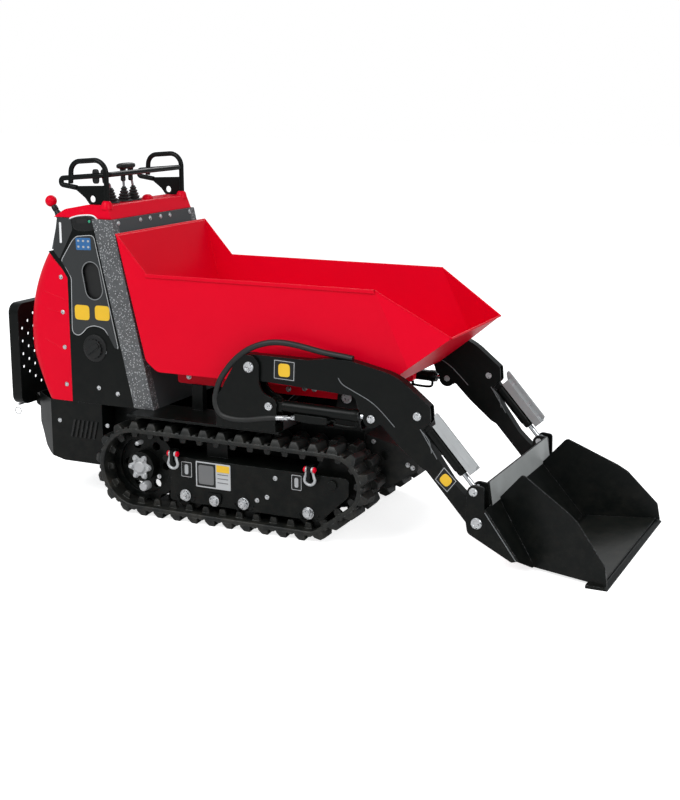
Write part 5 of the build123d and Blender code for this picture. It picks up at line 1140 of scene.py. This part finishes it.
@dataclass
class ArmDress:
    """Welds, pins and blank stickers of the loader arms, and the tilt guards' bolts and flanges."""

    shop: Workshop
    decals: Decals

    def build(self) -> None:
        """Build the details of both arms, and the stickers on the right-hand one."""
        self.inner, self.outer = (corner[1] for corner in millimetres("arm_left"))
        self.build_welds()
        self.build_pins()
        self.build_stickers()
        self.build_guard_bolts()
        self.build_flanges()

    def build_welds(self) -> None:
        """Weld beads and folded seams on both faces of each arm, light grey as painted highlights along the
        seams.
        """
        seams = (((281.0, 628.0), (289.0, 609.0), (330.0, 590.0), (408.0, 556.0), (452.0, 520.0),
                  (498.0, 473.0)),
                 ((593.0, 476.0), (606.0, 458.0), (657.0, 377.0)),
                 ((602.0, 466.0), (622.0, 448.0), (632.0, 424.0), (637.0, 396.0)))
        routes = mirrored(*(at_y(seam, face) for face in (self.inner - SEAT,
                                                          self.outer + SEAT) for seam in seams))
        self.shop.hose("arm_welds", routes, 1.7, Body.ARMS, "weld_highlight_grey", order=3)

    def build_pins(self) -> None:
        """Pivot pins with chamfered heads and a lower middle, in place of the plain solids."""
        for node, (body, pins) in PINS.items():
            shell, middle = Shell(node), Shell(f"{node}_middle")
            for x, z, radius, start, base, head, face in pins:
                profile = [(radius, start), (radius, base)]
                if face > base:
                    profile += [(head, base + 0.2), (head, face - 2.4), (head - 2.2, face - 0.2),
                                (head * 0.62, face - 0.2), (head * 0.55, face - 2.0), (head * 0.3,
                                                                                       face - 2.4)]
                (middle if start < 0 else shell).add(turned(profile, (x, 0, z), LEFTWARDS))
            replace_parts(self.shop.piece(shell.both_sides(), body, "zinc_bolts"), node)
            if middle.count:
                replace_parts(self.shop.piece(middle, body, "zinc_bolts"), node)

    def build_stickers(self) -> None:
        """Blank yellow patches in dark fields with a pale line."""
        boom = np.array(((683.0, 357.0), (735.0, 307.0), (697.0, 258.0), (646.0, 303.0)))
        square = box_outline(22.0, 111.0, 598.0, 674.0, -2.0)
        for name, outline, patch in (("arm_sticker", square, box_outline(43.0, 90.0, 612.0, 660.0)),
                                     ("boom_sticker", boom, box_outline(671.0, 711.0, 287.0, 325.0, -42.0))):
            self.decals.build(name, Body.ARMS, -self.outer, [
                ("decal_dark", [rounded(outline, 3.0)]),
                ("decal_pale", [rounded(inset(outline, 4.0), 2.0)]),
                ("decal_dark_field", [rounded(inset(outline, 6.0), 2.0)]),
                ("decal_yellow", [rounded(patch, 14.0)]),
            ])

    def build_guard_bolts(self) -> None:
        """Bolts along the top of each tilt cylinder's guard."""
        shell = Shell("guard_bolts")
        out = axes(GUARD_LINE)[1]
        for share in (0.12, 0.60, 0.90):
            x, z = GUARD_LINE[0] + (GUARD_LINE[1] - GUARD_LINE[0]) * share
            shell.bolt((x, (self.inner + self.outer) / 2, z), (out[0], 0, out[1]), 6.0, 5.0, 9.0)
        self.shop.piece(shell.both_sides(), Body.TILT_CYLINDERS, "zinc_bolts")

    def build_flanges(self) -> None:
        """Bright outer flange of each guard, drawn as places along the cylinder and above it."""
        along = np.array(((36.0, 51.0), (31.0, 62.0), (36.0, 66.0), (260.0, 66.0), (268.0, 50.0), (262.0,
                                                                                                   38.0),
                          (60.0, 38.0)))
        outline = rounded(TILT_LINE[0] + along @ np.array(axes(TILT_LINE)), 3.0)
        y = millimetres("tilt_guards")[1][1]
        shell = Shell("guard_flanges").add(plate(outline, y - 9.0, y + 0.6))
        self.shop.piece(shell.both_sides(), Body.TILT_CYLINDERS, "light_grey_zinc", bevel=0.8)


# --- hydraulic lines --------------------------------------------------------------------------
@dataclass
class HydraulicLines:
    """Hoses beside the arms, with their fittings, port blocks and steel pipes."""

    shop: Workshop
    hose_radius: float = 11.0
    near_y: float = 372.0
    far_y: float = 397.5

    def build(self) -> None:
        """Build the lines on both sides."""
        self.build_upper_hoses()
        self.build_lower_hoses()
        self.build_ports()
        self.build_pipes()

    def build_upper_hoses(self) -> None:
        """Hoses from the clamps on the arms, over the pivots and down behind the uprights."""
        near, far = self.near_y, self.far_y
        route = [(330.0, near, 698.0), (280.0, near, 704.0), (218.0, near, 708.0), (150.0, near, 722.0),
                 (90.0, near + 8, 733.0), (21.0, near + 18, 739.0), (-67.0, far, 712.0), (-130.0, far, 664.0),
                 (-176.0, far, 610.0), (-209.0, far, 559.0), (-217.0, far, 505.0)]
        for side, path in zip(("left", "right"), mirrored(route)):
            piece = self.shop.hose(f"upper_hose_{side}", [path], self.hose_radius, None, "hose_rubber")
            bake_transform(piece)

    def build_lower_hoses(self) -> None:
        """Hoses round behind the uprights' feet and forwards to the lift cylinders' ports."""
        far = self.far_y
        route = [(-216.0, far, 520.0), (-220.0, far, 488.0), (-206.0, far, 452.0), (-168.0, far, 437.0),
                 (-106.0, far, 435.0), (-40.0, far, 447.0), (0.0, far, 456.0), (36.0, far - 1, 459.0)]
        for side, path in zip(("left", "right"), mirrored(route)):
            piece = self.shop.hose(f"lower_hose_{side}", [path], self.hose_radius, None, "hose_rubber")
            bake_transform(piece)

    def build_ports(self) -> None:
        """Crimped ferrules, hexagon nuts and port blocks under the lift cylinders."""
        far = self.far_y - 1.0
        fittings, blocks = Shell("hose_fittings"), Shell("port_blocks")
        axis = (1.0, -0.04, 0.09)
        start = np.array((30.0, far, 458.0))
        crimps = [(9.2 if step % 2 else 8.2, 4.0 + 4.0 * step) for step in range(9)]
        profile = [(8.0, 0.0)] + crimps + [(7.0, 40.0)]
        fittings.add(turned(profile, start, axis))
        fittings.add(turned(((9.6, 40.0), (9.6, 52.0)), start, axis, 6))
        fittings.add(turned(((5.0, 50.0), (5.0, 78.0)), start, axis))
        fittings.add(turned(((8.6, 66.0), (8.6, 80.0)), start, axis, 6))
        self.shop.piece(fittings.both_sides(), Body.LIFT_CYLINDERS, "zinc_bolts", bevel=0.5)
        block = ((104.0, 455.0), (172.0, 450.0), (236.0, 452.0), (236.0, 478.0), (104.0, 480.0))
        blocks.add(plate(rounded(block, 5.0), self.near_y - 14.0, self.far_y - 4.0))
        self.shop.piece(blocks.both_sides(), Body.LIFT_CYLINDERS, "black_powder_coat", bevel=1.5)

    def build_pipes(self) -> None:
        """Steel pipe looped under each lift cylinder, and each tilt cylinder's sleeve."""
        sleeve = self.collar("tilt_sleeves", TILT_LINE, 0.0, ((18.0, 64.0), (21.0, 66.0), (21.0, 228.0),
                                                              (18.0, 230.0)))
        self.shop.piece(sleeve, Body.TILT_CYLINDERS, "black_powder_coat", bevel=0.8)
        y = self.near_y - 6.0
        route = [(236.0, y, 466.0), (262.0, y, 466.0), (250.0, y, 452.0), (290.0, y, 448.0), (330.0, y,
                                                                                              448.0),
                 (342.0, y, 456.0), (340.0, y, 474.0)]
        self.shop.hose("lift_pipes", mirrored(route), 5.0, Body.LIFT_CYLINDERS, "black_powder_coat", order=3)
        for name, body, line, radius, start in (
                ("lift_barrels_glands", Body.LIFT_CYLINDERS, LIFT_LINE, 23.5, 322.0),
                ("tilt_barrels_glands", Body.TILT_CYLINDERS, TILT_LINE, 18.5, 226.0)):
            gland = ((radius, 0.0), (radius, 20.0), (radius - 2.0, 24.0), (radius - 5.0, 27.0))
            self.shop.piece(self.collar(name, line, start, gland), body, "black_powder_coat", bevel=0.8)

    @staticmethod
    def collar(name: str, line: Array, start: float, profile: Array) -> Shell:
        """Turned pieces round both cylinders of a pair, from a place along their line."""
        run = axes(line)[0]
        x, z = line[0] + run * start
        return Shell(name).add(turned(profile, (x, CYLINDER_Y, z), (run[0], 0, run[1]))).both_sides()


# --- console and controls ---------------------------------------------------------------------
@dataclass
class Console:
    """Side stickers, pods, filler cap, bolts and bosses of the console and engine bay."""

    shop: Workshop
    decals: Decals
    side_y: float = 290.0
    oval_middle: tuple[float, float] = (-821.0, 891.0)
    oval_tilt: float = 10.0

    def build(self) -> None:
        """Build the console's details."""
        self.build_sticker()
        self.build_pod()
        self.build_fasteners()
        self.build_cap()
        self.build_cover()
        self.build_opening_shade()

    def oval(self, half_length: float, radius: float) -> Array:
        """Outline round the side panels' opening."""
        return oval_outline(self.oval_middle, half_length, radius, self.oval_tilt)

    def build_opening_shade(self) -> None:
        """Black sheets behind the side panels' openings: painted shade for the dark inside."""
        shade_sheet = Shell("oval_shade").add(plate(self.oval(82.0, 46.0), -self.side_y + 16.0,
                                              -self.side_y + 12.0))
        self.shop.piece(shade_sheet.both_sides(), Body.CHASSIS, "shade_black")

    def build_sticker(self) -> None:
        """Large blank sticker on the right-hand panel, with a pale line round it."""
        outline = rounded((
            (-889, 1062), (-819, 1069), (-805, 1062), (-709, 627), (-732, 629), (-749, 664), (-771,
                                                                                              702), (-798,
                                                                                                     711),
            (-826, 713), (-855, 703), (-875, 681), (-895, 668), (-918, 674), (-927, 689), (-921, 896),
            (-934, 919),
            (-961, 949), (-965, 964), (-909, 1045)), 12.0)
        oval, hole = self.oval(76.0, 42.0), self.oval(72.5, 38.5)
        patch = self.decals.patch
        self.decals.build("side_sticker", Body.CHASSIS, -self.side_y, [
            ("decal_pale", band(outline, inset(outline, 3.0))),
            ("decal_slate", band(inset(outline, 3.0), oval)),
            ("decal_pale_rim", band(oval, hole)),
            ("decal_blue", [patch(-891.0, -822.0, 1009.0, 1056.0, 2.0)]),
            ("decal_yellow", [patch(-909.0, -840.0, 734.0, 793.0, radius=16.0),
                              patch(-814.0, -746.0, 738.0, 796.0, radius=16.0)]),
            ("decal_pale_mark", [patch(x - 5.0, x + 5.0, z - 4.0, z + 4.0, radius=3.0)
                                 for x in (-879.0, -856.0, -833.0) for z in (1021.0, 1044.0)]),
        ])

    def build_pod(self) -> None:
        """Switch pod under the cover, its pale trim, and the dark post behind it."""
        pod = rounded(((-905, 1127), (-895, 1135), (-815, 1142), (-788, 1124), (-780, 1109), (-809, 1088),
                       (-832, 1084), (-869, 1082), (-897, 1088), (-905, 1111)), 14.0)
        face = -self.side_y
        shell = Shell("switch_pod").add(plate(inset(pod, -2.0), face + 4.0, face - 1.5))
        shell.add(plate(inset(pod, 2.5), face + 1.0, face - 4.5))
        self.shop.piece(shell, Body.CHASSIS, "black_moulding", bevel=1.2)
        # The pod's slot is a flat black sheet: painted shade of a recess.
        slot = self.decals.patch(-880.0, -832.0, 1112.0, 1130.0, 3.0, 8.0)
        self.decals.build("pod_slot", Body.CHASSIS, face - 4.6, [("shade_black", [slot])])
        lamp = Shell("pod_lamp").add(turned(((6.0, -1.0), (5.5, 2.0), (3.0, 3.5)), (-821.0, face - 4.0,
                                                                                    1121.0),
                                            RIGHTWARDS))
        self.shop.piece(lamp, Body.CHASSIS, "lamp_green")
        trim = ((-915.0, 1128.0), (-893.0, 1139.0), (-815.0, 1147.0), (-790.0, 1136.0), (-778.0, 1114.0))
        self.shop.hose("pod_trim", [at_y(trim, face - 0.5)], 3.0, Body.CHASSIS, "decal_white", order=3)
        post = rounded(((-976.0, 1130.0), (-912.0, 1130.0), (-905.0, 1086.0), (-972.0, 968.0),
                        (-1000.0, 1000.0)), 6.0)
        strip = self.decals.patch(-967.0, -957.0, 1031.0, 1112.0, radius=4.0)
        self.decals.build("console_post", Body.CHASSIS, face, [("decal_slate", [post]), ("decal_white",
                                                                                         [strip])])

    def build_fasteners(self) -> None:
        """Bolts of the side panels, hood, struts and console front."""
        shell = Shell("body_bolts")
        places = ((-969.0, 897.0), (-967.0, 758.0), (-965.0, 618.0), (-963.0, 468.0), (-824.0, 670.0),
                  (-775.0, 614.0), (-846.0, 592.0), (-809.0, 467.0), (-721.0, 451.0),
                  (-1005.0, 316.0), (-775.0, 317.0))
        for place in at_y(places, self.side_y):
            shell.bolt(place, LEFTWARDS, 5.5, 4.5, 9.0)
        for y in (259.0, 107.0, 38.0):
            shell.bolt((-712.0, y, 1116.0), (1.0, 0.0, 0.22), 6.0, 5.0, 9.0)
        self.shop.piece(shell.both_sides(), Body.CHASSIS, "zinc_bolts", bevel=0.5)

    def build_cap(self) -> None:
        """Fuel filler cap with a knurled rim, on the right-hand panel."""
        middle, face = (-820.0, 625.0), -self.side_y
        flange = turned(((54.0, -1.0), (54.0, 3.0), (50.0, 5.0)), at_y([middle], face)[0], RIGHTWARDS, 48)
        shell = Shell("filler_cap").add(flange)
        angle = np.linspace(0.0, 2 * np.pi, 96, endpoint=False)
        knurl = circle(middle, 38.0 + 1.6 * np.sign(np.sin(16 * angle)), angle)
        shell.add(plate(knurl, face - 3.0, face - 17.0))
        grip = self.decals.patch(-854.0, -786.0, 616.0, 634.0, 35.0, 8.0)
        shell.add(plate(grip, face - 15.0, face - 24.0))
        self.shop.piece(shell, Body.CHASSIS, "black_moulding", bevel=1.0)

    def build_cover(self) -> None:
        """Bosses round the guard's front legs and a guide beside the levers, on the cover."""
        shell = Shell("cover_bosses")
        for y in (-270.0, 270.0):
            boss = ((23.0, -16.0), (20.0, 4.0), (16.0, 12.0), (11.0, 16.0))
            shell.add(turned(boss, (-755.0, y, 1184.0), UPWARDS))
        shell.add(blob((-776.0, 45.0, 1185.0), (20.0, 24.0, 17.0), 0.9))
        shell.add(blob((-860.0, -281.0, 1158.0), (18.0, 9.0, 9.0), 0.9, 12))
        self.shop.piece(shell, Body.CHASSIS, "red_moulding")


@dataclass
class Controls:
    """Hand levers on their bellows, and the throttle's knob."""

    shop: Workshop
    lever_x: float = -797.0
    lever_ys: tuple[float, ...] = (-178.0, -88.0, -24.0)
    foot_z: float = 1184.3
    ball: tuple[float, float, float] = (-1053.0, -220.0, 1185.0)
    stem_foot: tuple[float, float, float] = (-1004.0, -220.0, 1110.0)

    def build(self) -> None:
        """Build the levers and the knob."""
        self.build_bellows()
        self.build_sticks()
        self.build_grips()
        self.build_knob()

    def build_bellows(self) -> None:
        """Rubber bellows: the radius falls from foot to tip, with five ripples."""
        share = np.linspace(0.0, 1.0, 41)
        radius = 30.0 - 21.0 * share ** 0.8 + 3.2 * np.sin(share * 10 * np.pi) * (1.0 - 0.4 * share)
        profile = np.stack([radius, 56.0 * share], axis=1)
        shell = Shell("lever_bellows")
        for y in self.lever_ys:
            shell.add(turned(((33.0, -0.2), (33.0, 3.0), (31.0, 5.0)), (self.lever_x, y, self.foot_z),
                             UPWARDS))
            shell.add(turned(profile, (self.lever_x, y, self.foot_z + 1.0), UPWARDS, 36))
        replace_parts(self.shop.piece(shell, Body.CHASSIS, "hose_rubber"), "control_levers")

    def build_sticks(self) -> None:
        """Steel sticks from the bellows to the grips."""
        x, z = self.lever_x, self.foot_z + 50.0
        routes = [((x, -178.0, z), (x, -186.0, z + 20.0), (x, -214.0, 1272.0)),
                  ((x, -88.0, z), (x, -92.0, 1290.0)), ((x, -24.0, z), (x, -40.0, 1290.0))]
        self.shop.hose("lever_sticks", routes, 5.0, Body.CHASSIS, "bare_steel", order=2)

    def build_grips(self) -> None:
        """Moulded grips: a leaning one with its paddle, and a pair under one rounded head."""
        shell = Shell("lever_grips")
        grip = ((8.0, 0.0), (11.0, 4.0), (10.5, 20.0), (12.5, 34.0), (11.0, 50.0), (6.0, 55.0))
        shell.add(turned(grip, (self.lever_x, -212.0, 1262.0), (0.0, -0.25, 1.0)))
        for y in (-92.0, -40.0):
            shell.add(turned(((7.0, 0.0), (10.0, 4.0), (9.0, 30.0), (14.0, 56.0)), (self.lever_x, y,
                                                                                    1262.0), UPWARDS))
        shell.add(blob((self.lever_x, -70.0, 1321.0), (17.0, 56.0, 12.0), 0.65))
        shell.add(blob((self.lever_x - 6.0, -266.0, 1291.0), (15.0, 5.0, 28.0), 0.5, 14))
        self.shop.piece(shell, Body.CHASSIS, "black_moulding")

    def build_knob(self) -> None:
        """Throttle: red ball on a thick black stem."""
        ball = np.array(self.ball)
        shell = Shell("throttle_ball").add(blob(ball, (23.0, 23.0, 23.0), 1.0))
        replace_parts(self.shop.piece(shell, Body.CHASSIS, "red_moulding"), "knob_lever")
        run = np.array(self.stem_foot) - ball
        stem = Shell("throttle_stem")
        stem.add(turned(((9.0, 18.0), (12.0, 26.0), (12.0, 40.0), (10.0, 44.0), (14.0, 60.0), (14.0, 84.0)),
                        ball, run))
        stem.add(turned(((17.0, 76.0), (17.0, 88.0)), ball, run))
        self.shop.piece(stem, Body.CHASSIS, "black_moulding")


# --- body panels ------------------------------------------------------------------------------
@dataclass
class BodyPanels:
    """Creases of the hood, louvres of the tray, the platform's latch and the front cover."""

    shop: Workshop
    side_y: float = 290.0

    def build(self) -> None:
        """Build the panels' details."""
        self.build_creases()
        self.build_louvres()
        self.build_latch()
        self.build_front()
        self.build_rail_bolts()

    def build_creases(self) -> None:
        """Raised ribs pressed in the hood's sides."""
        ribs = (((-1048.0, 836.0), (-1000.0, 824.0), (-950.0, 806.0)),
                ((-1040.0, 768.0), (-1000.0, 762.0), (-946.0, 751.0)),
                ((-1058.0, 646.0), (-1036.0, 636.0), (-1000.0, 620.0), (-972.0, 605.0)))
        routes = mirrored(*(at_y(rib, self.side_y - 1.8) for rib in ribs))
        self.shop.hose("hood_ribs", routes, 2.6, Body.CHASSIS, "red_moulding", order=3)

    def build_louvres(self) -> None:
        """Slanted slots in the tray's sides, each under a pressed lip; each slot is a flat black sheet,
        painted shade in place of an opening.
        """
        slots, lips = Shell("tray_slots"), Shell("tray_lips")
        for x in np.linspace(-955.0, -850.0, 6):
            for shell, low, high, radius, rise in ((slots, x, x + 9.0, 4.0, 0.4), (lips, x + 9.0, x + 13.0,
                                                                                   1.5, 4.0)):
                slant = rounded(((low, 254.0), (high, 254.0), (high + 18.0, 326.0), (low + 18.0, 326.0)),
                                radius)
                shell.add(plate(slant, self.side_y - SEAT, self.side_y + rise))
        self.shop.piece(slots.both_sides(), Body.CHASSIS, "shade_black")
        self.shop.piece(lips.both_sides(), Body.CHASSIS, "black_powder_coat", bevel=0.8)

    def build_latch(self) -> None:
        """Spring pins and ring that hold the platform, at its lower corners."""
        shell = Shell("platform_pins")
        for y in (250.0, 238.0):
            shell.add(turned(((5.0, 0.0), (5.0, 22.0), (3.5, 24.0)), (-1232.0, y - 14.0, 352.0), LEFTWARDS))
        self.shop.piece(shell.both_sides(), Body.PLATFORM, "zinc_bolts")
        ring = circle((-1243.0, 322.0), 15.0, np.linspace(0.0, 2 * np.pi, 13))
        self.shop.hose("platform_ring", [at_y(ring, -251.0)], 1.8, Body.PLATFORM, "zinc_bolts", order=3)

    def build_front(self) -> None:
        """Keyhole plate and bolts of the front cover."""
        y = millimetres("front_cover")[1][1]
        shell = Shell("cover_bolts")
        for place in at_y(((330.0, 355.0), (467.0, 281.0), (486.0, 272.0), (330.0, 185.0)), y):
            shell.bolt(place, LEFTWARDS, 5.5, 4.5, 9.0)
        self.shop.piece(shell.both_sides(), Body.CHASSIS, "zinc_bolts")
        lock = Shell("cover_lock").add(turned(((17.0, -1.0), (17.0, 2.0), (15.0, 3.0)), (378.0, y, 311.0),
                                              LEFTWARDS))
        lock.add(plate(rounded(box_outline(373.0, 383.0, 288.0, 311.0), 4.0), y, y + 2.5))
        self.shop.piece(lock.both_sides(), Body.CHASSIS, "black_powder_coat", bevel=0.6)

    def build_rail_bolts(self) -> None:
        """Bolts along the rails under the skip."""
        shell = Shell("rail_bolts")
        for place in at_y(((-440.0, 532.0), (-300.0, 532.0), (-7.0, 524.0), (60.0, 534.0), (100.0, 535.0)),
                          216.0):
            shell.bolt(place, LEFTWARDS, 7.0, 6.0, 11.0)
        self.shop.piece(shell.both_sides(), Body.SKIP, "zinc_bolts", bevel=0.5)


# --- skip and bucket --------------------------------------------------------------------------
@dataclass
class SkipDress:
    """Hems along the skip's rims."""

    shop: Workshop

    def build(self) -> None:
        """Build the skip's details."""
        half = millimetres("skip_tub")[1][1] - 5.0
        rim = ((-552.0, half + 2.0, 936.0), (-300.0, half + 2.0, 936.0), (391.0, half + 2.0, 936.0))
        front = ((391.0, half - 1.0, 935.0), (655.0, 262.0, 776.0))
        head = ((-679.0, half - 2.0, 1080.0), (-552.0, half - 2.0, 938.0))
        crossing = [np.array(((x, -y, z), (x, y, z))) for x, y, z in ((-680.0, half - 2.0, 1080.0),
                                                                      (654.0, 262.0, 776.0))]
        self.shop.hose("skip_hems", mirrored(rim, front, head) + crossing, 3.4, Body.SKIP,
                       "red_powder_coat", order=2)


@dataclass
class BucketDress:
    """Weld beads, light grey as painted highlights, and faces of the bucket coloured with a painted sheen."""

    shop: Workshop

    def build(self) -> None:
        """Build the bucket's details."""
        self.build_beam()
        self.build_floor()
        self.build_welds()

    def build_beam(self) -> None:
        """Face of the beam: its black coat coloured grey as a painted sheen of reflected light."""
        beam = np.array(((843.9, 221.3), (830.9, 303.0), (831.5, 303.1), (844.5, 221.4)))
        shell = Shell("beam_face").add(plate(beam, -336.0, 336.0))
        self.shop.piece(shell, Body.BUCKET, "sheen_grey")

    def build_floor(self) -> None:
        """Lighter strip of the bucket's floor towards its lip: a painted sheen of reflected light."""
        corner = np.array(((1010.0, -316.0), (1250.0, -388.0), (1250.0, 388.0), (1010.0, 316.0)))
        low = np.insert(corner, 2, 18.1, axis=1)
        shell = Shell("floor_face").add(np.stack([low, low + (0.0, 0.0, 0.5)]))
        self.shop.piece(shell, Body.BUCKET, "sheen_black")

    def build_welds(self) -> None:
        """Beads where the sides and brackets meet the back plate and floor, light grey as painted highlights.
        """
        back, foot = np.array((842.0, 222.0)), np.array((994.0, 14.0))
        seam = [back + (foot - back) * share - (7.0, 6.0) for share in (0.02, 0.78)]
        routes = mirrored(*(at_y(seam, y) for y in (337.0, 349.5, 390.5, 401.5)))
        self.shop.hose("bucket_welds", routes, 1.8, Body.BUCKET, "weld_highlight_grey", order=2)


def main() -> None:
    """Build the stage, the finishes and every sub-assembly."""
    logging.basicConfig(level=logging.INFO)
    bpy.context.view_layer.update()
    Stage().build()
    shelf = FinishShelf(SharedGroups())
    shelf.dress_nodes()
    shop = Workshop(shelf)
    decals = Decals(shop)
    for assembly in (RubberTrack(shop), RunningGear(shop, decals), ArmDress(shop, decals),
                     HydraulicLines(shop),
                     Console(shop, decals), Controls(shop), BodyPanels(shop), SkipDress(shop),
                     BucketDress(shop)):
        assembly.build()


if __name__ == "__main__":
    main()
